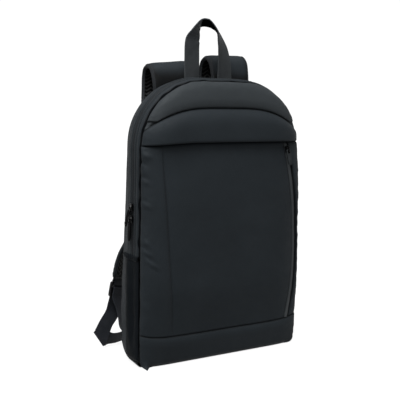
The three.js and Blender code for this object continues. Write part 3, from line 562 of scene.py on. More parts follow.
# The yoke cloth, also on the corner tucks, is the shell weave made lighter: in part its own tone, in part
# painted light from above where it faces up
YOKE_WITH_PAINTED_LIGHT = woven_cloth("yoke_cloth_with_painted_light", colour(0.0095, 0.0115, 0.0128), colour(0.0134, 0.0158, 0.0175),
                   0.55, 0.10, 0.64, 0.06, 0.01)
POCKET = woven_cloth("pocket_stretch_cloth", colour(0.0012, 0.0018, 0.0024), colour(0.0022, 0.0030, 0.0039),
                     0.45, 0.08, 0.7, 0.03, 0.0)
BINDING = woven_cloth("binding_tape", colour(0.0042, 0.0049, 0.0058), colour(0.0066, 0.0076, 0.0088),
                      0.8, 0.14, 0.6, 0.06, 0.01)
ZIP_TAPE = woven_cloth("zip_tape_weave", colour(0.0040, 0.0050, 0.0060), colour(0.0066, 0.0078, 0.0090),
                       0.7, 0.12, 0.6, 0.06, 0.01)
ZIP_WELT = woven_cloth("zip_welt_satin", colour(0.0120, 0.0142, 0.0154), colour(0.0165, 0.0190, 0.0205),
                       0.4, 0.04, 0.45, 0.12, 0.01)
# Near-black sheet under the handle's arch, as painted shade where the arch faces down
HANDLE_ARCH_PAINTED_SHADE = woven_cloth("handle_arch_painted_shade_cloth", colour(0.0003, 0.0004, 0.0005),
                            colour(0.0006, 0.0007, 0.0009), 0.6, 0.1, 0.8, 0.0, 0.0)
# Near-black cloth of the strip in the crease round the front and of the seam allowance behind it, as painted
# shade
CREASE_PAINTED_SHADE = woven_cloth("crease_painted_shade_cloth", colour(0.0012, 0.0014, 0.0017), colour(0.0022, 0.0025, 0.0029),
                          0.6, 0.1, 0.8, 0.0, 0.0)
# Meshes: hole and thread, then rib pitch and stripe, or cell, in millimetres
STRAP_AIR_MESH = zigzag_mesh("strap_zigzag_mesh", colour(0.0004, 0.0004, 0.0005), colour(0.034, 0.035, 0.035),
                             7.0, 8.0)
BACK_AIR_MESH = air_mesh_cloth(
    "back_air_mesh", colour(0.0012, 0.0012, 0.0015), colour(0.014, 0.0152, 0.017), 4.6
)
# Webbings: dark and light yarn, rib in millimetres and specular
WEBBING = ribbed_webbing("ribbed_webbing", colour(0.0052, 0.0062, 0.0082), colour(0.0084, 0.0096, 0.0120),
                         2.1, 0.07)
HANDLE_WEBBING = ribbed_webbing("handle_ribbed_webbing", colour(0.0105, 0.0120, 0.0132),
                                colour(0.0150, 0.0168, 0.0182), 1.6, 0.08)
# Plastics and metal: dark and light tone, roughness, specular and metallic
BUCKLE = moulded(
    "buckle_plastic_black", colour(0.0015, 0.0015, 0.0018), colour(0.0028, 0.0028, 0.0032), 0.42, 0.1
)
PULL = moulded(
    "pull_plastic_black", colour(0.0005, 0.0005, 0.0006), colour(0.0009, 0.0009, 0.0010), 0.6, 0.01
)
GREY_PULL = moulded(
    "pull_plastic_grey", colour(0.0100, 0.0113, 0.0122), colour(0.0135, 0.0150, 0.0160), 0.6, 0.01
)
SLIDER = moulded(
    "slider_metal_dark", colour(0.0016, 0.0017, 0.0019), colour(0.0040, 0.0042, 0.0046), 0.3, 0.5, 1.0
)
THREAD = twisted_thread("stitch_thread", colour(0.0085, 0.0095, 0.0105), colour(0.0140, 0.0155, 0.0170))


# Making pieces


def finish_piece(bm, name, material, slot, nodes=(), body="bag"):
    mesh = bpy.data.meshes.new(name)
    for face in bm.faces:
        face.smooth = True
    bm.to_mesh(mesh)
    bm.free()
    mesh.materials.append(material)
    piece = bpy.data.objects.new(name, mesh)
    bpy.context.scene.collection.objects.link(piece)
    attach(piece, body)
    if nodes:
        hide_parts(*nodes)
    return piece


def cloth_grid(across, up, place):
    """A grid of cloth. place(u, v) gives a point, its spot on the flat cloth and its seam value: painted
    shade at seams, creases and hollows on most cloths, and lighter wear at the selvedge of webbing.
    """
    bm = bmesh.new()
    bmesh.ops.create_grid(bm, x_segments=across, y_segments=up, size=0.5)
    uv = bm.loops.layers.uv.new("cloth")
    # The seam attribute carries painted shade into the colour, and wear on webbing
    seam = bm.verts.layers.float.new("seam")
    for vert in bm.verts:
        point, spot, near = place(vert.co.x + 0.5, vert.co.y + 0.5)
        for loop in vert.link_loops:
            loop[uv].uv = (spot[0] * MM, spot[1] * MM)
        vert.co = point * MM
        vert[seam] = near
    return bm


def sided(bm, side):
    """Leaves a left-hand shape as it is, and mirrors it for the right."""
    if side == "right":
        bmesh.ops.scale(bm, vec=(-1, 1, 1), verts=bm.verts)
        bmesh.ops.reverse_faces(bm, faces=bm.faces)
    return bm


def thicken(piece, thickness, offset=-1.0, rounded_rim=0):
    wall = piece.modifiers.new("cloth_thickness", "SOLIDIFY")
    wall.thickness = thickness * MM
    wall.offset = offset
    if rounded_rim:
        rim = piece.modifiers.new("rounded_rim", "SUBSURF")
        rim.levels = rounded_rim
        rim.render_levels = rounded_rim


CLOTH_THICKNESS = 0.9
TAPE_THICKNESS = 0.7
# Reach of the painted shade beside a seam, in millimetres
SEAM_SHADE = 3.0


# Front panels

# Roll of a panel's edge into a seam: depth and width
BASE_ROLL = (2.4, 3.2)
UNDER_FLAP_ROLL = (6.0, 6.0)
FLAP_ROLL = (7.0, 4.5)
UNDER_YOKE_ROLL = (4.5, 5.0)
YOKE_ROLL = (5.0, 4.0)
SOFT_SEAM_ROLL = (0.4, 4.0)
ZIP_ROLL = (1.4, 2.2)
FOOT_ROLL = (5.5, 7.0)
OUTLINE_ROLL = (5.4, 7.0)
# Depth of roll at which a seam's painted shade is full
FULL_SHADE_DEPTH = 2.0
FOOT_CORNER = (0.84, 0.98)

# The crease round the front, which waves in and out, and the reach of its painted shade
OUTLINE_WAVE = 5.0
OUTLINE_SHADE = (0.6, 4.4)
OUTLINE_SHADE_WAVE = 0.8

# Lower edges that hang over the seam below them
LIP_HEIGHT = 9.0
FLAP_LIP = 2.4
YOKE_LIP = 1.8
YOKE_LIP_ENDS = 0.12

# Puff of the panels, and how low it hangs in the flap: less than 1 is lower
BASE_PUFF = 4.0
FLAP_PUFF = 11.0
FLAP_HANG = 0.55
YOKE_PUFF = 5.0

# Pointed corner of cloth at the left foot: its middle, the reach of its two sides, its height and its tip
EAR_X = -136.5
EAR_SIDES = (10.0, 7.0)
EAR_RISE = 16.0
EAR_REACH = (-1.5, -12.5, 1.1)


def lip_drop(from_low, depth):
    """How far a rolled lower edge hangs down, a little above its seam."""
    share = clamp(from_low / LIP_HEIGHT)
    return depth * 4 * share * (1 - share)


def draw_out_ear(point, from_low):
    """Pulls the cloth at the left foot of the front into the pointed corner that stands out there."""
    beside = point.x - EAR_X
    share = clamp(1 + min(beside / EAR_SIDES[0], -beside / EAR_SIDES[1])) * turn_in(from_low, EAR_RISE)
    return point + Vector(EAR_REACH) * share


def distance_to_foot(from_low, x, z):
    """Distance from the bottom edge, which rolls under less and less towards its two corners."""
    return from_low + FOOT_ROLL[1] * smooth(abs(x) / half_width(z), *FOOT_CORNER)


def roll_to_outline(point, x, z):
    """Pulls a point of the front into the crease round it, and gives the painted shade that the crease puts
    on it.
    """
    depth, width = OUTLINE_ROLL
    distance = math.hypot(inside_edge(x, z), min(point.y - FRONT_SEAM_Y, 0.0))
    wave = ripple(x, z, *CREASE_WAVE)
    pull = (depth + OUTLINE_WAVE * wave) * turn_in(distance, width)
    nx, nz = outline_normal(x, z)
    shade_start, shade_end = OUTLINE_SHADE
    # Painted shade in the crease, with a wavy reach
    near = 1 - smooth(distance, shade_start, shade_end * (1 + OUTLINE_SHADE_WAVE * wave))
    return point - Vector((nx, 0, nz)) * pull, near


def front_panel(name, across, up, edges, puff, rolls, node, lip=0.0, hang=1.0):
    """A panel of the front between four edges, each with its roll, in the order low, high, left, right."""
    low, high, left, right = edges
    has_foot = rolls[0] is FOOT_ROLL

    def place(u, v):
        u, v = crowded(u), crowded(v)
        z = lerp(low(u), high(u), v)
        x = lerp(left(z), right(z), u)
        from_low = z - low(u)
        y = front_y(x, z) - puff * pillow(u, v**hang) - front_relief(x, z)
        to_foot = distance_to_foot(from_low, x, z) if has_foot else from_low
        near = 0.0
        for distance, roll in zip((to_foot, high(u) - z, x - left(z), right(z) - x), rolls):
            if roll:
                y += roll_in(distance, roll)
                # Painted shade near each seam that the edge rolls into, full for deep rolls
                near = max(near, min(1.0, roll[0] / FULL_SHADE_DEPTH) * seam_shade(distance))
        point, rim = roll_to_outline(Vector((x, y, z - lip_drop(from_low, lip))), x, z)
        if has_foot:
            point = draw_out_ear(point, from_low)
        return point, (x, z), max(near, rim, 0.0)

    bm = cloth_grid(across, up, place)
    thicken(finish_piece(bm, name, SHELL, "shell_fabric", (node,)), CLOTH_THICKNESS)


def left_edge(z):
    return -half_width(z)


def beside_left_seam(side):
    return lambda z: left_seam(z) + side * CREASE_GAP


def beside_front_zip(side):
    return lambda z: front_zip_x(z) + side * (FRONT_ZIP_HALF + CREASE_GAP)


def seam_edge(seam, z, gap, left=left_edge, right=half_width):
    """Edge of a panel that lies along a seam between two sides, with the gap that the crease leaves."""

    def height(u):
        x = lerp(left(z), right(z), u)
        return seam(clamp(x / half_width(z), -1.0, 1.0)) + gap

    return height


def build_front():
    high = seam_edge(base_seam, BASE_SEAM_Z, -CREASE_GAP)
    edges = (lambda u: FRONT_LOW_Z, high, left_edge, half_width)
    rolls = (FOOT_ROLL, BASE_ROLL, None, None)
    front_panel("front_base_cloth", 150, 26, edges, BASE_PUFF, rolls, "front_base_panel")
    # Name, cells across, left side, right side, puff, and the rolls at the two sides
    strips = [
        ("front_left", 34, left_edge, beside_left_seam(-1), 4, None, SOFT_SEAM_ROLL),
        ("front_center", 110, beside_left_seam(1), beside_front_zip(-1), 5, SOFT_SEAM_ROLL, ZIP_ROLL),
        ("front_right", 24, beside_front_zip(1), half_width, 5, ZIP_ROLL, None),
    ]
    for name, across, left, right, puff, left_roll, right_roll in strips:
        low = seam_edge(base_seam, BASE_SEAM_Z, CREASE_GAP, left, right)
        high = seam_edge(flap_seam, FLAP_SEAM_Z, -CREASE_GAP, left, right)
        rolls = (BASE_ROLL, UNDER_FLAP_ROLL, left_roll, right_roll)
        front_panel(f"{name}_cloth", across, 150, (low, high, left, right), puff, rolls, f"{name}_panel")
    low = seam_edge(flap_seam, FLAP_SEAM_Z, CREASE_GAP)
    high = seam_edge(arch_seam, ARCH_PEAK_Z, -CREASE_GAP)
    edges = (low, high, left_edge, half_width)
    rolls = (FLAP_ROLL, UNDER_YOKE_ROLL, None, None)
    front_panel(
        "front_arch_cloth", 150, 36, edges, FLAP_PUFF, rolls, "front_arch_panel", FLAP_LIP, FLAP_HANG
    )


# The welt is a folded satin tape that stands over the slit of the front zip.
WELT_LEFT = -4.4
WELT_RIGHT = 2.2
WELT_RISE = 1.5
WELT_ROUND = 0.25
WELT_EDGE_DROP = (1.4, 0.22)
WELT_SINK = 0.9
WELT_PAST_FLAP = 1.5
WELT_FLAP_SHADE = 5.0
FRONT_ZIP_FOOT_GAP = 0.4
FRONT_ZIP_DIP = (5.0, 9.0)
FRONT_TAPE_START = 0.6
FRONT_TAPE_SINK = (1.7, 1.1)
FRONT_TAPE_PAST_FLAP = 1.0
FRONT_TAPE_SHADE = 0.8


def front_zip_z(v, past_flap):
    """Height along the front zip, from its foot on the base seam to a little behind the flap."""
    foot = base_seam(front_zip_x(BASE_SEAM_Z) / half_width(BASE_SEAM_Z)) + FRONT_ZIP_FOOT_GAP
    return lerp(foot, FLAP_TOP_Z + past_flap, v)


def on_front_zip(across, z, out):
    """Point beside the middle of the front zip, out from the cloth, sinking behind the flap."""
    x = front_zip_x(z) + across
    y = front_y(x, z) - front_relief(x, z) - out + roll_in(FLAP_TOP_Z - z, FRONT_ZIP_DIP)
    return Vector((x, y, z))


def build_front_zip():
    def welt(u, v):
        z = front_zip_z(v, WELT_PAST_FLAP)
        across = lerp(WELT_LEFT, WELT_RIGHT, u)
        x = front_zip_x(z) + across
        fold = WELT_RISE * rounded(u, WELT_ROUND) - roll_in(1 - u, WELT_EDGE_DROP)
        # Painted shade on the welt where it runs under the flap
        near = max(0.0, 1 - (FLAP_TOP_Z - z) / WELT_FLAP_SHADE)
        return on_front_zip(across, z, fold + waves(x, z, WELT_SLACK) - WELT_SINK), (x, z), near

    def tape(u, v):
        z = front_zip_z(v, FRONT_TAPE_PAST_FLAP)
        across = lerp(FRONT_TAPE_START, FRONT_ZIP_HALF - CREASE_GAP, u)
        point = on_front_zip(across, z, -lerp(*FRONT_TAPE_SINK, u))
        # Painted shade on the tape, darkest at the slit
        return point, (point.x, z), FRONT_TAPE_SHADE * (1 - u)

    bm = cloth_grid(14, 190, welt)
    thicken(finish_piece(bm, "front_zip_welt", ZIP_WELT, "zip_welt", ("front_zip",)), TAPE_THICKNESS)
    bm = cloth_grid(5, 150, tape)
    thicken(finish_piece(bm, "front_zip_tape", ZIP_TAPE, "zip_tape"), TAPE_THICKNESS)


def build_yoke():
    start_angle = math.asin((YOKE_END_Z + YOKE_RIM_RISE - SHOULDER_HEIGHT) / TOP_RADIUS)
    arc = TOP_RADIUS * (math.pi / 2 - start_angle)
    length = 2 * arc + 2 * TOP_ARC_X

    def rim(u):
        along = u * length
        end = min(along, length - along)
        side = -1 if along < length / 2 else 1
        if end < arc:
            angle = start_angle + end / TOP_RADIUS
            x = TOP_ARC_X + TOP_RADIUS * math.cos(angle)
            return side * x, SHOULDER_HEIGHT + TOP_RADIUS * math.sin(angle)
        return side * (TOP_ARC_X - (end - arc)), TOP_HEIGHT

    def place(u, v):
        u, v = crowded(u), crowded(v)
        s = 2 * u - 1
        low_z = yoke_seam(s) + CREASE_GAP
        high_x, high_z = rim(u)
        x = lerp(s * half_width(low_z), high_x, v)
        z = lerp(low_z, high_z, v)
        from_low = v * math.hypot(high_x - s * half_width(low_z), high_z - low_z)
        y = front_y(x, z) - YOKE_PUFF * pillow(u, v) - front_relief(x, z) + roll_in(from_low, YOKE_ROLL)
        drop = lip_drop(from_low, YOKE_LIP) * smooth(1 - abs(s), 0.0, YOKE_LIP_ENDS)
        point, near = roll_to_outline(Vector((x, y, z - drop)), x, z)
        # Painted shade from the crease round the front and from the seam below
        return point, (x, z), max(near, seam_shade(from_low))

    # The yoke's cloth is painted lighter, in part as painted top light
    bm = cloth_grid(160, 48, place)
    thicken(finish_piece(bm, "yoke_cloth_with_painted_light", YOKE_WITH_PAINTED_LIGHT, "yoke_fabric", ("front_yoke",)), CLOTH_THICKNESS)


TUCK_END = -0.88
TUCK_SINK = (3.0, 5.0)
TUCK_LOW_ROLL = (3.0, 3.0)
TUCK_UNDERLAP = 1.0
TUCK_UNDER_YOKE = 1.5


def build_tucks():
    """Crumpled corner of cloth under each end of the yoke."""
    for side in ("left", "right"):

        def place(u, v):
            s = lerp(-1, TUCK_END, u)
            z = lerp(arch_seam(s) + CREASE_GAP, YOKE_END_Z + TUCK_UNDERLAP, v)
            x = s * half_width(z)
            depth, width = TUCK_SINK
            sink = depth * rounded(inside_edge(x, z), width) * (1 - (2 * v - 1) ** 4)
            under_yoke = TUCK_UNDER_YOKE * smooth(v, 0.7, 1.0)
            relief = waves(x, z, TUCK_CRUMPLE[side])
            y = front_y(x, z) + sink - relief + roll_in(z - arch_seam(s), TUCK_LOW_ROLL) + under_yoke
            point, near = roll_to_outline(Vector((x, y, z)), x, z)
            # Painted shade from the crease round the front
            return point, (x, z), max(near, 0.0)

        bm = sided(cloth_grid(18, 16, place), side)
        # The tucks share the yoke's cloth, painted lighter in part as top light
        piece = finish_piece(bm, f"corner_tuck_cloth_{side}", YOKE_WITH_PAINTED_LIGHT, "yoke_fabric", (f"corner_tuck_{side}",))
        thicken(piece, CLOTH_THICKNESS)


# Gusset bands and the main zip

# A roll into a seam is (depth, width). A raised or sunk line is (height, distance, width).
ZIP_FOLD = (0.6, 1.2, 1.4)
ZIP_FOLD_ROLL = (1.3, 1.1)
ZIP_STITCH_LINE = (-0.45, 4.2, 0.8)
ZIP_STITCH_SHADE = (0.6, 4.2, 0.8)
FRONT_BAND_LIP = (1.2, 4.9, 2.6)
FRONT_BAND_ROLL = (6.6, 4.8)
FRONT_BAND_SHADE = (1.4, 3.4)
BACK_BAND_LINE = (-0.7, 10.5, 1.0)
BACK_BAND_SHADE = (0.5, 10.5, 1.0)
BACK_BAND_ROLL = (2.4, 4.0)
ZIP_LIPS = (0.55, 1.25, 0.6)
ZIP_SLIT = (-1.5, 0.0, 0.42)
ZIP_SLIT_SHADE = 0.6
ZIP_SINK = 0.5
ZIP_UNDERLAP = 0.6
# Dark strip of painted shade in the crease: its start, width, unevenness and lift
CREASE_SHADE_START = -1.0
CREASE_SHADE_WIDTH = 1.8
CREASE_SHADE_UNEVEN = 1.6
CREASE_SHADE_LIFT = 0.35
STAY_LOW_Z = 13.0
STAY_REACH = (-5.0, 9.0)
STAY_DEPTH = 8.6
GUSSET_STEPS = 330


def outline(start_z):
    """Line of the outline from the left side, over the top, to the right side, and its length."""
    foot = half_width(start_z)
    side = math.hypot(foot - HALF_WIDTH_HIGH, SHOULDER_HEIGHT - start_z)
    lean, rise = (foot - HALF_WIDTH_HIGH) / side, (SHOULDER_HEIGHT - start_z) / side
    arc = TOP_RADIUS * math.pi / 2
    length = 2 * (side + arc + TOP_ARC_X)

    def at(along):
        over = along > length / 2
        d = length - along if over else along
        if d < side:
            x, z, nx, nz = -foot + lean * d, start_z + rise * d, -rise, lean
        elif d < side + arc:
            angle = (d - side) / TOP_RADIUS
            nx, nz = -math.cos(angle), math.sin(angle)
            x, z = -TOP_ARC_X + TOP_RADIUS * nx, SHOULDER_HEIGHT + TOP_RADIUS * nz
        else:
            x, z, nx, nz = -TOP_ARC_X + d - side - arc, TOP_HEIGHT, 0.0, 1.0
        return (-x, z, -nx, nz) if over else (x, z, nx, nz)

    return at, length


def gusset_out(z, y):
    share = (y - FRONT_SEAM_Y) / (back_seam_y(z) - FRONT_SEAM_Y)
    lift = GUSSET_TOP_LIFT * share * smooth(z, SHOULDER_HEIGHT, TOP_HEIGHT)
    return GUSSET_SWELL * math.sin(math.pi * clamp(share)) + lift


GUSSET_LINE, GUSSET_LENGTH = outline(GUSSET_LOW_Z)


def gusset_spot(along, y, out):
    """Point of the gusset, out from its smooth shape and its slack."""
    x, z, nx, nz = GUSSET_LINE(along)
    total = gusset_out(z, y) + out + waves(along, y, GUSSET_SLACK)
    return Vector((x + nx * total, y, z + nz * total))


def zip_fold(from_zip):
    """Edge of a band that is folded under beside the zip and stitched down."""
    return ridge(from_zip, ZIP_FOLD) - roll_in(from_zip, ZIP_FOLD_ROLL) + ridge(from_zip, ZIP_STITCH_LINE)


def front_band_relief(along, y):
    x, z, _, _ = GUSSET_LINE(along)
    from_front = max(y - SIDE_START_Y, 0.0)
    roll = ridge(from_front, FRONT_BAND_LIP) - roll_in(from_front, FRONT_BAND_ROLL)
    gathers = waves(x, z, GUSSET_GATHERS) * math.exp(-from_front / GUSSET_GATHER_REACH)
    return roll + gathers + zip_fold(ZIP_FRONT_Y - y)


def build_gusset():
    stay_line, stay_length = outline(STAY_LOW_Z)

    def front_band(u, v):
        along = u * GUSSET_LENGTH
        y = lerp(SIDE_START_Y, ZIP_FRONT_Y, crowded(v))
        # Painted shade in the crease at the band's front edge and along the stitch line by the zip
        crease = 1 - smooth(y - SIDE_START_Y, *FRONT_BAND_SHADE)
        near = max(crease, ridge(ZIP_FRONT_Y - y, ZIP_STITCH_SHADE))
        return gusset_spot(along, y, front_band_relief(along, y)), (along, y), near

    def crease_shade_strip(u, v):
        """Dark strip with an uneven edge on the start of the front band: painted shade in the crease."""
        along = u * GUSSET_LENGTH
        width = CREASE_SHADE_WIDTH + CREASE_SHADE_UNEVEN * ripple(along, 0.0, *CREASE_SHADE_WAVE)
        y = SIDE_START_Y + lerp(CREASE_SHADE_START, width, v)
        return gusset_spot(along, y, front_band_relief(along, y) + CREASE_SHADE_LIFT), (along, y), 0.0

    def seam_stay(u, v):
        """Seam allowance behind the crease, from one lower corner round to the other, near black as painted
        shade.
        """
        x, z, nx, nz = stay_line(u * stay_length)
        y = FRONT_SEAM_Y + lerp(*STAY_REACH, v)
        return Vector((x - nx * STAY_DEPTH, y, z - nz * STAY_DEPTH)), (u * stay_length, y), 0.0

    def main_zip(u, v):
        """Tape with two rolled edges that meet over the slit."""
        along = u * GUSSET_LENGTH
        y = lerp(ZIP_FRONT_Y - ZIP_UNDERLAP, ZIP_BACK_Y + ZIP_UNDERLAP, v)
        off = y - MAIN_ZIP_Y
        out = ridge(abs(off), ZIP_LIPS) + ridge(off, ZIP_SLIT) - ZIP_SINK
        # Painted shade along the slit between the two rolled edges
        return gusset_spot(along, y, out), (along, y), bell(off, ZIP_SLIT_SHADE)

    def back_band(u, v):
        along = u * GUSSET_LENGTH
        end = back_seam_y(GUSSET_LINE(along)[1]) + BACK_EDGE
        y = lerp(ZIP_BACK_Y, end, crowded(v))
        from_zip = y - ZIP_BACK_Y
        out = zip_fold(from_zip) + ridge(from_zip, BACK_BAND_LINE) - roll_in(end - y, BACK_BAND_ROLL)
        # Painted shade at the back seam and along the sunk line
        near = max(seam_shade(end - y), ridge(from_zip, BACK_BAND_SHADE))
        return gusset_spot(along, y, out), (along, y), near

    rows = [
        (26, front_band, "gusset_front_cloth", SHELL, "shell_fabric", ("gusset_front_band",)),
        (36, main_zip, "main_zip_tape", ZIP_TAPE, "zip_tape", ("main_zip",)),
        (30, back_band, "gusset_back_cloth", SHELL, "shell_fabric", ("gusset_back_band",)),
        # The crease strip and the seam allowance are near black, as painted shade
        (6, crease_shade_strip, "front_crease_tape", CREASE_PAINTED_SHADE, "shell_fabric"),
        (4, seam_stay, "front_seam_stay", CREASE_PAINTED_SHADE, "shell_fabric"),
    ]
    for across, place, *piece in rows:
        thickness = CREASE_SHADE_LIFT if place is crease_shade_strip else CLOTH_THICKNESS
        thicken(finish_piece(cloth_grid(GUSSET_STEPS, across, place), *piece), thickness)


# Base and sides

BASE_START = 2.6
BASE_SIDE_ROLL = (2.0, 4.0)
BASE_FRONT_ROLL = (0.2, 3.0)
BASE_BACK_ROLL = (1.5, 3.0)
FLOOR_GAP = 0.05
SIDE_FRONT_ROLL = (3.2, 4.5)
SIDE_BACK_ROLL = (2.4, 4.0)
SIDE_LOW_ROLL = (2.2, 4.0)
SIDE_FOOT_INSET = 2.0
SIDE_FOOT_GAP = 0.2
UNDER_BANDS_SINK = 1.6
UNDER_BANDS_RANGE = (GUSSET_LOW_Z - 4, GUSSET_LOW_Z + 2)
POCKET_FRONT_Y = SIDE_START_Y + 0.6
POCKET_UNDERLAP = 3.0
POCKET_OVERLAP = 1.5
POCKET_FRONT_ROLL = (2.4, 4.0)
POCKET_BACK_ROLL = (1.2, 2.0)
POCKET_LOW_ROLL = (1.2, 3.0)
POCKET_FRONT_SHADE = 0.4
POCKET_STAND = 1.2
POCKET_FULLNESS = 2.2
POCKET_FOLD = (-2.6, 0.34, 0.14)
POCKET_RIDGE = (1.5, 0.66, 0.16)
POCKET_SLACK_DEPTH = 60.0
HEM_RISE = 1.3
HEM_GATHERS = (0.3, 4.6)
HEM_PAST_POCKET = 0.8
HEM_BACK_ROLL = (0.8, 0.06)
HEM_STITCH_SHADE = (0.7, 0.12, 0.06)


def base_rise(y):
    back = clamp(y - BASE_ARC_Y, 0.0, BASE_ARC_RADIUS)
    return BASE_ARC_RADIUS - math.sqrt(BASE_ARC_RADIUS**2 - back**2)


def foot_lift(rise):
    return 1 - rise / BASE_TOP_Z


def build_base():
    foot_x = HALF_WIDTH_LOW - FOOT_RADIUS
    foot_arc = FOOT_RADIUS * math.pi / 2
    rim_length = 2 * (foot_arc + foot_x)
    back_arc = BASE_ARC_RADIUS * math.pi / 2

    def rim(along):
        end = min(along, rim_length - along)
        side = -1 if along < rim_length / 2 else 1
        if end < foot_arc:
            angle = end / FOOT_RADIUS
            x = foot_x + FOOT_RADIUS * math.cos(angle)
            return side * x, FOOT_RADIUS - FOOT_RADIUS * math.sin(angle), end
        return side * (foot_x - (end - foot_arc)), 0.0, end

    def place(u, v):
        x, lift, from_side = rim(crowded(u) * rim_length)
        front = front_y(x, 0) + BASE_START
        flat = BASE_ARC_Y - front
        length = flat + back_arc + BASE_TOP_Z - BASE_ARC_RADIUS
        d = (1 - v) * length
        if d < flat:
            y, rise = front + d, 0.0
        elif d < flat + back_arc:
            angle = (d - flat) / BASE_ARC_RADIUS
            y = BASE_ARC_Y + BASE_ARC_RADIUS * math.sin(angle)
            rise = BASE_ARC_RADIUS * (1 - math.cos(angle))
        else:
            y, rise = BASE_ARC_Y + BASE_ARC_RADIUS, BASE_ARC_RADIUS + d - flat - back_arc
        inward = roll_in(from_side, BASE_SIDE_ROLL)
        z = max(rise + lift * foot_lift(rise) + roll_in(d, BASE_FRONT_ROLL), FLOOR_GAP)
        point = Vector((x - math.copysign(inward, x), y - roll_in(length - d, BASE_BACK_ROLL), z))
        # Painted shade at the side and back seams
        return point, (x, d), seam_shade(from_side, length - d)

    bm = cloth_grid(120, 56, place)
    thicken(finish_piece(bm, "base_cloth", SHELL, "shell_fabric", ("base_panel",)), CLOTH_THICKNESS)


def pocket_back_y(z):
    return lerp(POCKET_LOW_BACK_Y, POCKET_TOP_BACK_Y, (z - POCKET_LOW_Z) / (POCKET_TOP_Z - POCKET_LOW_Z))


def side_spot(z, y, out):
    return Vector((-half_width(z) - gusset_out(z, y) - out, y, z))


def side_place(u, v):
    """Left side behind and under the pocket, hollow where the pocket stands off it."""
    foot_y = lerp(SIDE_START_Y, back_seam_y(BASE_TOP_Z) + CREASE_GAP, v)
    rise = base_rise(foot_y + SIDE_FOOT_INSET)
    low_z = rise + FOOT_RADIUS * foot_lift(rise) + SIDE_FOOT_GAP
    z = lerp(low_z, SIDE_TOP_Z, u)
    end = back_seam_y(z) + BACK_EDGE
    y = lerp(SIDE_START_Y, end, v)
    from_front, from_back, from_low = y - SIDE_START_Y, end - y, z - low_z
    in_pocket = clamp(from_front / (pocket_back_y(z) - SIDE_START_Y))
    up = clamp((z - POCKET_LOW_Z) / (POCKET_HOLLOW_TOP_Z - POCKET_LOW_Z))
    hollow = POCKET_HOLLOW * (1 - (2 * in_pocket - 1) ** 4) * (1 - (2 * up - 1) ** 8)
    rolls = roll_in(from_front, SIDE_FRONT_ROLL) + roll_in(from_back, SIDE_BACK_ROLL)
    rolls += roll_in(from_low, SIDE_LOW_ROLL)
    under_bands = UNDER_BANDS_SINK * smooth(z, *UNDER_BANDS_RANGE)
    out = waves(z, y, SIDE_SLACK) - hollow - rolls - under_bands
    # Painted shade at the front, back and lower seams
    return side_spot(z, y, out), (z, y), seam_shade(from_front, from_back, from_low)


def pocket_out(share, z):
    """How far the pocket cloth stands off the side: sewn down round three edges, sagging in a long fold."""
    up = clamp((z - POCKET_LOW_Z) / (POCKET_TOP_Z - POCKET_LOW_Z))
    full = POCKET_STAND + POCKET_FULLNESS * (1 - (2 * share - 1) ** 2) * (1 - (2 * up - 1) ** 4)
    fold = ridge(share, POCKET_FOLD) * smooth(up, 0.02, 0.25) * (1 - 0.5 * smooth(up, 0.75, 1.0))
    swell = ridge(share, POCKET_RIDGE) * smooth(up, 0.05, 0.4)
    slack = waves(z, POCKET_SLACK_DEPTH * share, POCKET_SLACK) * smooth(up, 0.0, 0.15)
    return full + fold + swell + slack


def pocket_place(u, v):
    z = lerp(POCKET_LOW_Z - POCKET_UNDERLAP, POCKET_TOP_Z + POCKET_OVERLAP, u)
    share = crowded(v)
    y = lerp(POCKET_FRONT_Y, pocket_back_y(z), share)
    from_front, from_back = y - POCKET_FRONT_Y, pocket_back_y(z) - y
    rolls = roll_in(from_front, POCKET_FRONT_ROLL) + roll_in(from_back, POCKET_BACK_ROLL)
    rolls += roll_in(z - POCKET_LOW_Z + POCKET_UNDERLAP, POCKET_LOW_ROLL)
    # Painted shade, light at the front edge and full at the back seam
    near = max(POCKET_FRONT_SHADE - from_front / SEAM_SHADE, seam_shade(from_back))
    return side_spot(z, y, pocket_out(share, z) - rolls), (z, y), near


def hem_place(u, v):
    z = lerp(POCKET_TOP_Z, HEM_TOP_Z, u)
    y = lerp(POCKET_FRONT_Y, pocket_back_y(z) + HEM_PAST_POCKET, v)
    height, pitch = HEM_GATHERS
    gathers = height * math.sin(2 * math.pi * y / pitch) * bell(u - 0.5, 0.4)
    rise = HEM_RISE * (1 - (2 * u - 1) ** 4) + gathers
    rolls = roll_in(y - POCKET_FRONT_Y, POCKET_FRONT_ROLL) + roll_in(1 - v, HEM_BACK_ROLL)
    # Painted shade at the front seam and along the stitch line
    near = max(seam_shade(y - POCKET_FRONT_Y), ridge(u, HEM_STITCH_SHADE))
    return side_spot(z, y, pocket_out(v, POCKET_TOP_Z) + rise - rolls), (z, y), near


def build_sides():
    rows = [
        ("side_cloth", 90, 44, side_place, SHELL, "shell_fabric", "side_panel"),
        ("pocket_cloth", 90, 40, pocket_place, POCKET, "pocket_fabric", "side_pocket"),
        ("pocket_hem", 12, 60, hem_place, POCKET, "pocket_fabric", "pocket_binding"),
    ]
    for side in ("left", "right"):
        for name, across, up, place, material, slot, node in rows:
            bm = sided(cloth_grid(across, up, place), side)
            piece = finish_piece(bm, f"{name}_{side}", material, slot, (f"{node}_{side}",))
            thicken(piece, CLOTH_THICKNESS)


# Strips of webbing and padding

SELVEDGE_WIDTH = 1.2
SELVEDGE_RISE = 0.12


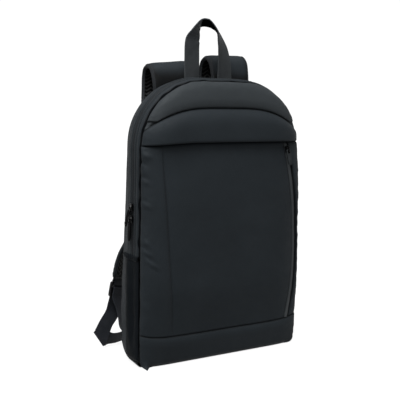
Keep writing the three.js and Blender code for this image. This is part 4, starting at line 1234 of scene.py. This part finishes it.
class Route:
    """A smooth line through rows of place, width, width direction and slant of the width."""

    def __init__(self, rows):
        self.rows = rows
        self.lengths = [0.0]
        self.samples = 20 * (len(rows) - 1)
        for i in range(self.samples):
            step = self.middle((i + 1) / self.samples) - self.middle(i / self.samples)
            self.lengths.append(self.lengths[-1] + step.length)
        self.length = self.lengths[-1]

    def middle(self, u):
        last = len(self.rows) - 1
        i = min(int(u * last), last - 1)
        t = u * last - i
        p1, p2 = self.rows[i][0], self.rows[i + 1][0]
        p0 = self.rows[i - 1][0] if i else 2 * p1 - p2
        p3 = self.rows[i + 2][0] if i + 2 <= last else 2 * p2 - p1
        d0, d1, d2 = (math.sqrt((b - a).length) for a, b in ((p0, p1), (p1, p2), (p2, p3)))
        start = ((p1 - p0) / d0 - (p2 - p0) / (d0 + d1) + (p2 - p1) / d1) * d1
        end = ((p2 - p1) / d1 - (p3 - p1) / (d1 + d2) + (p3 - p2) / d2) * d1
        bend = -3 * p1 + 3 * p2 - 2 * start - end
        twist = 2 * p1 - 2 * p2 + start + end
        return p1 + start * t + bend * t**2 + twist * t**3

    def along(self, u):
        place = clamp(u) * self.samples
        i = min(int(place), self.samples - 1)
        return lerp(self.lengths[i], self.lengths[i + 1], place - i)

    def frame(self, u):
        """Middle, direction along, direction across, direction out, and width."""
        step = 1e-3
        low, high = max(u - step, 0.0), min(u + step, 1.0)
        tangent = (self.middle(high) - self.middle(low)).normalized()
        last = len(self.rows) - 1
        i = min(int(u * last), last - 1)
        share = u * last - i
        direction = self.rows[i][2].lerp(self.rows[i + 1][2], share).normalized()
        square = (direction - tangent * direction.dot(tangent)).normalized()
        sideways = square.lerp(direction, lerp(self.rows[i][3], self.rows[i + 1][3], share)).normalized()
        width = lerp(self.rows[i][1], self.rows[i + 1][1], share)
        return self.middle(u), tangent, sideways, tangent.cross(sideways).normalized(), width


def webbing_strip(name, route, thickness, nodes, side="left", material=WEBBING, steps=150):
    """A flat woven strip with a slightly thick selvedge."""

    def place(u, v):
        middle, _, sideways, out, width = route.frame(u)
        across = (v - 0.5) * width
        edge = bell(width / 2 - abs(across), SELVEDGE_WIDTH)
        point = middle + sideways * across + out * (SELVEDGE_RISE * edge)
        return point, (route.along(u), across), edge

    bm = sided(cloth_grid(steps, 16, place), side)
    piece = finish_piece(bm, name, material, "webbing", nodes)
    thicken(piece, thickness, offset=0.0, rounded_rim=1)


def buckle_frame():
    before, end = (Vector(row[:3]) for row in STRAP_ROUTE[-2:])
    along = (end - before).normalized()
    wanted = Vector(BUCKLE_ACROSS)
    across = (wanted - along * along.dot(wanted)).normalized()
    return end + along * BUCKLE_DISTANCE, along, across, along.cross(across)


def buckle_rows(rows):
    middle, along, across, out = buckle_frame()
    return [(middle + along * a + out * o, WEBBING_WIDTH, -across, 0.0) for a, o in rows]


def free_rows(rows):
    return [
        (Vector((x, y, z)), WEBBING_WIDTH * (1 + FOLD_STRETCH * slant), Vector((dx, dy, dz)), slant)
        for x, y, z, dx, dy, dz, slant in rows
    ]


def handle_route():
    rows = []
    for x, z, turn, tilt in HANDLE_ROUTE:
        angle, lean = math.radians(turn), math.radians(tilt)
        back = math.sin(angle)
        direction = Vector((-math.cos(angle), back * math.cos(lean), -back * math.sin(lean)))
        rows.append((Vector((x, HANDLE_Y, z)), HANDLE_WIDTH, direction, 0.0))
    return Route(rows)


def build_handle():
    """A turned webbing strip, with a thin near-black sheet on the hand side of its arch as painted shade on
    the arch's underside.
    """
    route = handle_route()
    webbing_strip("handle_webbing", route, HANDLE_THICKNESS, ("handle",), material=HANDLE_WEBBING)

    # The dark sheet of painted shade on the arch's underside
    def lining(u, v):
        spot = lerp(*HANDLE_GRIP, u)
        middle, _, sideways, out, _ = route.frame(spot)
        across = (v - 0.5) * GRIP_SHADE_SHEET_WIDTH
        height = (HANDLE_THICKNESS + GRIP_SHADE_SHEET_THICKNESS) / 2
        edge = bell(GRIP_SHADE_SHEET_WIDTH / 2 - abs(across), SELVEDGE_WIDTH)
        return middle + sideways * across + out * height, (route.along(spot), across), edge

    piece = finish_piece(cloth_grid(70, 14, lining), "handle_arch_shade_sheet", HANDLE_ARCH_PAINTED_SHADE, "webbing")
    thicken(piece, GRIP_SHADE_SHEET_THICKNESS, offset=0.0, rounded_rim=1)


def strap_route(side):
    rise, tilt = STRAP_RISE[side], STRAP_TILT[side]
    rows = []
    for x, y, z, width, turn, lean, top in STRAP_ROUTE:
        angle = math.radians(turn)
        direction = Vector((-math.cos(angle), -math.sin(angle), lean + top * tilt))
        rows.append((Vector((x, y, z + top * rise)), width, direction, 0.0))
    return Route(rows)


STRAP_END_ROUND = 8.0
STRAP_RIM = 1.3
STRAP_CROWN = 13.0
STRAP_EASE = 2.0
STRAP_COVER_GAP = 0.3
STRAP_COVER_THICKNESS = 0.6
STRAP_STEPS = 170
# Lengths along the strap over which the painted shade near the bag fades, outside and inside
COVER_SHADE = (36, 56)
LINING_SHADE = (112, 162)
LINING_SHADE_MOST = 0.8
STRAP_EDGE_SHADE = 0.6
STRAP_EDGE_REACH = 9.0
BINDING_WIDTH = 2.4
BINDING_LIFT = 0.55
BINDING_LEG = 0.38
BINDING_TURN = 0.24
BINDING_PUCKER = (0.15, 5.5)
BINDING_GIRTH = 18


def strap_swell(edge):
    """Half the thickness of a padded strap at a distance from its edge."""
    return lerp(STRAP_RIM, STRAP_HALF_THICKNESS - STRAP_COVER_GAP, rounded(edge, STRAP_CROWN))


def strap_shade(along, outward):
    """Painted shade where the strap leaves the bag, and inside its roll."""
    if outward > 0:
        return 1 - smooth(along, *COVER_SHADE)
    return LINING_SHADE_MOST * (1 - smooth(along, *LINING_SHADE))


class StrapPad:
    """A padded strap: its outline in the flat, its two faces and the binding round its edge."""

    def __init__(self, side):
        self.route = strap_route(side)

    def half_width(self, u, width):
        left = max(STRAP_END_ROUND - (self.route.length - self.route.along(u)), 0.0)
        r = STRAP_END_ROUND
        return width / 2 + STRAP_EASE - r + math.sqrt(max(r**2 - left**2, 0.0))

    def face(self, outward):
        def place(u, v):
            middle, _, sideways, out, width = self.route.frame(u)
            half = self.half_width(u, width)
            across = lerp(-half, half, crowded(v) if outward > 0 else 1 - crowded(v))
            along = self.route.along(u)
            edge = min(half - abs(across), self.route.length - along)
            height = strap_swell(edge) + waves(along, across, STRAP_SLACK[outward])
            # Painted shade near the bag, inside the roll and towards the strap's edges
            shade = strap_shade(along, outward) + STRAP_EDGE_SHADE * max(0.0, 1 - edge / STRAP_EDGE_REACH)
            return middle + sideways * across + out * (outward * height), (along, across), min(shade, 1.0)

        return place

    def rim(self, share):
        """Point of the edge, from one side round the end to the other, with its outward direction."""
        end_half = self.half_width(1.0, self.route.frame(1.0)[4])
        total = 2 * self.route.length + 2 * end_half
        d = share * total
        if d <= self.route.length:
            u, sign, across = d / self.route.length, 1.0, None
        elif d >= total - self.route.length:
            u, sign, across = (total - d) / self.route.length, -1.0, None
        else:
            u, sign, across = 1.0, 0.0, end_half - (d - self.route.length)
        middle, tangent, sideways, out, width = self.route.frame(u)
        if across is not None:
            return middle + sideways * across, tangent, out, d
        half = self.half_width(u, width)
        closing = max(STRAP_END_ROUND - (self.route.length - self.route.along(u)), 0.0) / STRAP_END_ROUND
        normal = (sideways * sign * math.sqrt(max(1 - closing**2, 0.0)) + tangent * closing).normalized()
        return middle + sideways * (sign * half), normal, out, d

    def binding(self, u, v):
        edge, normal, out, d = self.rim(u)
        leg, turn = BINDING_LEG, BINDING_TURN
        if v < leg:
            inside = BINDING_WIDTH * (1 - v / leg)
            offset, height = -inside, strap_swell(inside) + BINDING_LIFT
        elif v > leg + turn:
            inside = BINDING_WIDTH * (v - leg - turn) / leg
            offset, height = -inside, -strap_swell(inside) - BINDING_LIFT
        else:
            angle = math.pi * (v - leg) / turn
            radius = STRAP_RIM + BINDING_LIFT
            offset, height = radius * math.sin(angle), radius * math.cos(angle)
        pucker_height, pitch = BINDING_PUCKER
        pucker = pucker_height * math.sin(2 * math.pi * d / pitch) * bell(v - 0.5, 0.3)
        return edge + normal * (offset + pucker) + out * height, (d, v * BINDING_GIRTH), 0.0


def build_straps():
    for side in ("left", "right"):
        pad = StrapPad(side)
        cover, lining = pad.face(1.0), pad.face(-1.0)
        rows = [
            ("strap_cover", STRAP_STEPS, 26, cover, SHELL, "shell_fabric", (f"strap_{side}",)),
            ("strap_lining", STRAP_STEPS, 26, lining, STRAP_AIR_MESH, "air_mesh", (f"strap_mesh_{side}",)),
            ("strap_binding", 2 * STRAP_STEPS + 24, 16, pad.binding, BINDING, "webbing", ()),
        ]
        for name, across, up, place, material, slot, nodes in rows:
            bm = sided(cloth_grid(across, up, place), side)
            piece = finish_piece(bm, f"{name}_{side}", material, slot, nodes)
            thicken(piece, STRAP_COVER_THICKNESS)

        loop = Route(buckle_rows(END_LOOP_ROUTE))
        nodes = (f"strap_end_loop_{side}",)
        webbing_strip(f"end_loop_webbing_{side}", loop, WEBBING_THICKNESS, nodes, side, steps=60)
        webbing = Route(free_rows(WEBBING_RISE) + buckle_rows(BUCKLE_ROUTE) + free_rows(WEBBING_TAIL))
        nodes = (f"webbing_{side}",)
        webbing_strip(f"adjuster_webbing_{side}", webbing, WEBBING_THICKNESS, nodes, side, steps=320)


# Hard fittings, from the part's own shapes with softened edges

MERGE_DISTANCE = 1e-5
FLAT_ANGLE = 2.0
SHARP_ANGLE = 25.0
BUCKLE_BEVEL = 0.9
ZIP_BEVEL = 0.35


def solid_of(node):
    """A copy of one of the part's solids, with its points merged."""
    bm = bmesh.new()
    bm.from_mesh(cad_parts[node].data)
    bmesh.ops.remove_doubles(bm, verts=bm.verts, dist=MERGE_DISTANCE)
    return bm


def softened(node, name, material, slot, width, body="bag"):
    bm = solid_of(node)
    bmesh.ops.dissolve_limit(bm, angle_limit=math.radians(FLAT_ANGLE), verts=bm.verts, edges=bm.edges)
    sharp = [e for e in bm.edges if e.is_manifold and e.calc_face_angle() > math.radians(SHARP_ANGLE)]
    bmesh.ops.bevel(bm, geom=sharp, offset=width * MM, offset_type="OFFSET", affect="EDGES", segments=3,
                    profile=0.5, material=-1, clamp_overlap=True)
    finish_piece(bm, name, material, slot, (node,), body)


def build_fittings():
    for side in ("left", "right"):
        node, name = f"ladder_lock_{side}", f"ladder_lock_moulding_{side}"
        softened(node, name, BUCKLE, "buckle_plastic", BUCKLE_BEVEL)
    for letter in ("a", "b"):
        node, name = f"main_zip_slider_{letter}", f"main_slider_body_{letter}"
        softened(node, name, SLIDER, "slider_metal", ZIP_BEVEL)
        node, name = f"main_zip_pull_{letter}", f"main_pull_tab_{letter}"
        softened(node, name, PULL, "pull_plastic", ZIP_BEVEL, f"pull_{letter}")
    softened("front_zip_slider", "front_slider_body", SLIDER, "slider_metal", ZIP_BEVEL)
    softened("front_zip_pull", "front_pull_tab", GREY_PULL, "pull_plastic", ZIP_BEVEL, "front_pull")


# Back pad, filled out by a cloth simulation

PAD_TRIM = 0.988
PAD_TOP_TRIM = 2.2
PAD_TOP_RANGE = (330, 440)
PAD_BACK_TRIM = 1.5
PAD_BACK_RANGE = (6, 18)
PAD_HELD_RANGE = (3.0, 8.0)
PAD_VOXEL = 5.0
PAD_MOST_MOVE = 5.0
PAD_FRAMES = 20
PAD_PRESSURE = 4.0


def behind_seam(spot):
    """How far a point of the pad, in metres, is behind the seam round the back, in millimetres."""
    return spot.y / MM - back_seam_y(spot.z / MM)


def build_back_pad():
    bm = solid_of("back_panel")
    for vert in bm.verts:
        vert.co.y -= PAD_BACK_TRIM * MM * smooth(behind_seam(vert.co), *PAD_BACK_RANGE)
        vert.co.x *= PAD_TRIM
        vert.co.z -= PAD_TOP_TRIM * MM * smooth(vert.co.z / MM, *PAD_TOP_RANGE)
    pad = finish_piece(bm, "back_pad", BACK_AIR_MESH, "air_mesh", ("back_panel",))
    remesh = pad.modifiers.new("even_cells", "REMESH")
    remesh.mode = "VOXEL"
    remesh.voxel_size = PAD_VOXEL * MM
    apply_modifiers(pad)
    fill_with_air(pad)
    relax_edges(pad)
    finer = pad.modifiers.new("smooth_cloth", "SUBSURF")
    finer.levels = 1
    finer.render_levels = 1
    for polygon in pad.data.polygons:
        polygon.use_smooth = True


def apply_modifiers(piece):
    """Keeps the shape that a piece's modifiers give, and takes them off."""
    graph = bpy.context.evaluated_depsgraph_get()
    shaped = bpy.data.meshes.new_from_object(piece.evaluated_get(graph))
    piece.modifiers.clear()
    piece.data = shaped


def fill_with_air(piece):
    held = piece.vertex_groups.new(name="sewn_edge")
    start = [vert.co.copy() for vert in piece.data.vertices]
    for index, spot in enumerate(start):
        held.add([index], 1.0 - smooth(behind_seam(spot), *PAD_HELD_RANGE), "REPLACE")
    cloth = piece.modifiers.new("air", "CLOTH")
    cloth.settings.use_pressure = True
    cloth.settings.uniform_pressure_force = PAD_PRESSURE
    cloth.settings.vertex_group_mass = "sewn_edge"
    cloth.settings.effector_weights.gravity = 0.0
    cloth.settings.quality = 5
    scene = bpy.context.scene
    for step in range(1, PAD_FRAMES + 1):
        scene.frame_set(step)
    apply_modifiers(piece)
    for vert, spot in zip(piece.data.vertices, start):
        move = vert.co - spot
        if move.length > PAD_MOST_MOVE * MM:
            vert.co = spot + move.normalized() * PAD_MOST_MOVE * MM
    scene.frame_set(1)


def relax_edges(piece):
    bm = bmesh.new()
    bm.from_mesh(piece.data)
    for _ in range(2):
        bmesh.ops.smooth_vert(
            bm, verts=bm.verts, factor=0.4, use_axis_x=True, use_axis_y=True, use_axis_z=True
        )
    bm.to_mesh(piece.data)
    bm.free()


# Stitches: small capsules laid along a line, joined into one piece

# Pitch of a row, and the length and width of each stitch
BAND_STITCHES = (3.4, (2.4, 0.7))
HANDLE_STITCHES = (3.4, (2.3, 0.7))
BINDING_STITCHES = (3.6, (2.4, 0.5))
HEM_STITCHES = (3.0, (2.1, 0.6))
STITCH_SAMPLES = 400
BAND_STITCH_GAP = 2.4
BAND_STITCH_RISE = 0.65
BAND_STITCH_ENDS = 8.0
HANDLE_STITCH_ACROSS = 0.86
HANDLE_STITCH_RISE = 0.1
BINDING_STITCH_INSET = 1.2
BINDING_STITCH_RISE = 0.75
BINDING_STITCH_RANGE = (0.01, 0.99)
HEM_STITCH_UP = 0.14
HEM_STITCH_RISE = 0.1
HEM_STITCH_RANGE = (0.06, 0.98)


def stitch_row(bm, spots, pitch, size):
    """spots(share) gives a point and the direction off the cloth."""
    points = [spots(i / STITCH_SAMPLES) for i in range(STITCH_SAMPLES + 1)]
    travelled = 0.0
    due = pitch / 2
    for (a, _), (b, off) in zip(points, points[1:]):
        step = (b - a).length
        if travelled + step >= due and step > 1e-6:
            along = (b - a).normalized()
            across = along.cross(off).normalized()
            up = across.cross(along)
            length, width = size
            turn = Matrix((along * length, across * width, up * width)).transposed().to_4x4()
            place = Matrix.Translation(b * MM) @ turn @ Matrix.Scale(MM, 4)
            bmesh.ops.create_icosphere(bm, subdivisions=1, radius=0.5, matrix=place)
            due += pitch
        travelled += step


def band_row(y):
    def spots(share):
        along = lerp(BAND_STITCH_ENDS, GUSSET_LENGTH - BAND_STITCH_ENDS, share)
        _, _, nx, nz = GUSSET_LINE(along)
        return gusset_spot(along, y, BAND_STITCH_RISE), Vector((nx, 0, nz))

    return spots


def strip_row(route, across_share, height):
    def spots(share):
        middle, _, sideways, out, width = route.frame(share)
        point = middle + sideways * (across_share * width / 2) + out * height
        return point, out * math.copysign(1, height)

    return spots


def binding_row(pad, face):
    inside = BINDING_WIDTH - BINDING_STITCH_INSET

    def spots(share):
        edge, normal, out, _ = pad.rim(lerp(*BINDING_STITCH_RANGE, share))
        return edge - normal * inside + out * (face * (strap_swell(inside) + BINDING_STITCH_RISE)), out * face

    return spots


def hem_row(share):
    point, _, _ = hem_place(HEM_STITCH_UP, lerp(*HEM_STITCH_RANGE, share))
    outward = Vector((-1, 0, 0))
    return point + outward * HEM_STITCH_RISE, outward


def build_stitches():
    bm = bmesh.new()
    for y in (ZIP_FRONT_Y - BAND_STITCH_GAP, ZIP_BACK_Y + BAND_STITCH_GAP):
        stitch_row(bm, band_row(y), *BAND_STITCHES)
    finish_piece(bm, "zip_band_stitches", THREAD, "shell_fabric")

    bm = bmesh.new()
    route = handle_route()
    height = HANDLE_THICKNESS / 2 + HANDLE_STITCH_RISE
    for across in (-HANDLE_STITCH_ACROSS, HANDLE_STITCH_ACROSS):
        for face in (1, -1):
            stitch_row(bm, strip_row(route, across, face * height), *HANDLE_STITCHES)
    finish_piece(bm, "handle_stitches", THREAD, "webbing")

    for side in ("left", "right"):
        bm = bmesh.new()
        pad = StrapPad(side)
        for face in (1, -1):
            stitch_row(bm, binding_row(pad, face), *BINDING_STITCHES)
        finish_piece(sided(bm, side), f"strap_stitches_{side}", THREAD, "webbing")

        bm = bmesh.new()
        stitch_row(bm, hem_row, *HEM_STITCHES)
        finish_piece(sided(bm, side), f"hem_stitches_{side}", THREAD, "pocket_fabric")


# Studio

CAMERA_PLACE = (-551.0, -975.0, 398.0)
CAMERA_YAW = 28.4
CAMERA_PITCH = 7.4
CAMERA_ROLL = 0.5
CAMERA_LENS = 61.74
SENSOR_WIDTH = 36.0


def build_camera():
    yaw, pitch, roll = (math.radians(a) for a in (CAMERA_YAW, CAMERA_PITCH, CAMERA_ROLL))
    ahead = Vector((math.sin(yaw) * math.cos(pitch), math.cos(yaw) * math.cos(pitch), -math.sin(pitch)))
    level = Vector((math.cos(yaw), -math.sin(yaw), 0))
    upright = level.cross(ahead)
    right = level * math.cos(roll) + upright * math.sin(roll)
    up = upright * math.cos(roll) - level * math.sin(roll)
    data = bpy.data.cameras.new("camera")
    data.lens = CAMERA_LENS
    data.sensor_width = SENSOR_WIDTH
    camera = bpy.data.objects.new("camera", data)
    turn = Matrix((right, up, -ahead)).transposed().to_4x4()
    camera.matrix_world = Matrix.Translation(Vector(CAMERA_PLACE) * MM) @ turn
    bpy.context.scene.collection.objects.link(camera)
    bpy.context.scene.camera = camera


WHITE = colour(1.0, 1.0, 1.0)
FLOOR_COLOUR = colour(0.08, 0.08, 0.08)
FLOOR_SIZE = 30.0
FLOOR_DROP = 0.0004
FLOOR_GLOW = 0.88
HORIZON_GLOW = 1.05
OVERHEAD_GLOW = 0.3
HORIZON_HEIGHT = 15.0
OVERHEAD_HEIGHT = 26.0
KEY_FROM = (-0.27, -0.21, 0.94)
KEY_STRENGTH = 9.0
KEY_SPREAD = 44.0
FRONT_TOP_PLACE = (-0.32, -0.48, 0.98)
FRONT_TOP_TARGET = (0, -0.05, 0.36)
FRONT_TOP_SIZE = 0.6
FRONT_TOP_POWER = 8.0


def build_floor():
    """A pale floor that glows a little, as a lit table does, so that shadows on it stay faint."""
    bm = bmesh.new()
    bmesh.ops.create_grid(bm, x_segments=1, y_segments=1, size=FLOOR_SIZE)
    bmesh.ops.translate(bm, vec=(0, 0, -FLOOR_DROP), verts=bm.verts)
    mesh = bpy.data.meshes.new("floor")
    bm.to_mesh(mesh)
    bm.free()
    material, _, shader = new_material("pale_floor", 0.7, 0.0)
    shader.inputs["Base Color"].default_value = FLOOR_COLOUR
    shader.inputs["Emission Color"].default_value = WHITE
    shader.inputs["Emission Strength"].default_value = FLOOR_GLOW
    mesh.materials.append(material)
    floor = bpy.data.objects.new("floor", mesh)
    bpy.context.scene.collection.objects.link(floor)


def add_light(name, kind, place, turn, power):
    data = bpy.data.lights.new(name, kind)
    data.energy = power
    light = bpy.data.objects.new(name, data)
    light.matrix_world = Matrix.Translation(place) @ turn.to_matrix().to_4x4()
    bpy.context.scene.collection.objects.link(light)
    return data


def build_light():
    """A white horizon, a dimmer ceiling, a wide soft key from above left of the front, and a small fill."""
    world = bpy.data.worlds.new("studio")
    world.use_nodes = True
    tree = world.node_tree
    sky = tree.nodes["Background"]
    sky.inputs["Color"].default_value = WHITE
    facing = add_node(tree, "ShaderNodeTexCoord").outputs["Generated"]
    height = add_node(tree, "ShaderNodeSeparateXYZ", {"Vector": facing}).outputs["Z"]
    low, high = (math.sin(math.radians(a)) for a in (HORIZON_HEIGHT, OVERHEAD_HEIGHT))
    glow = spread(tree, height, low, high, HORIZON_GLOW, OVERHEAD_GLOW)
    tree.links.new(glow, sky.inputs["Strength"])
    bpy.context.scene.world = world
    bpy.context.scene.view_settings.view_transform = "Standard"
    key = add_light("key", "SUN", (0, 0, 0), Vector(KEY_FROM).to_track_quat("Z", "Y"), KEY_STRENGTH)
    key.angle = math.radians(KEY_SPREAD)
    aim = (Vector(FRONT_TOP_TARGET) - Vector(FRONT_TOP_PLACE)).to_track_quat("-Z", "Y")
    front_top = add_light("front_top", "AREA", FRONT_TOP_PLACE, aim, FRONT_TOP_POWER)
    front_top.shape = "DISK"
    front_top.size = FRONT_TOP_SIZE


build_camera()
build_floor()
build_light()
build_front()
build_front_zip()
build_yoke()
build_tucks()
build_gusset()
build_base()
build_sides()
build_straps()
build_handle()
build_fittings()
build_back_pad()
build_stitches()
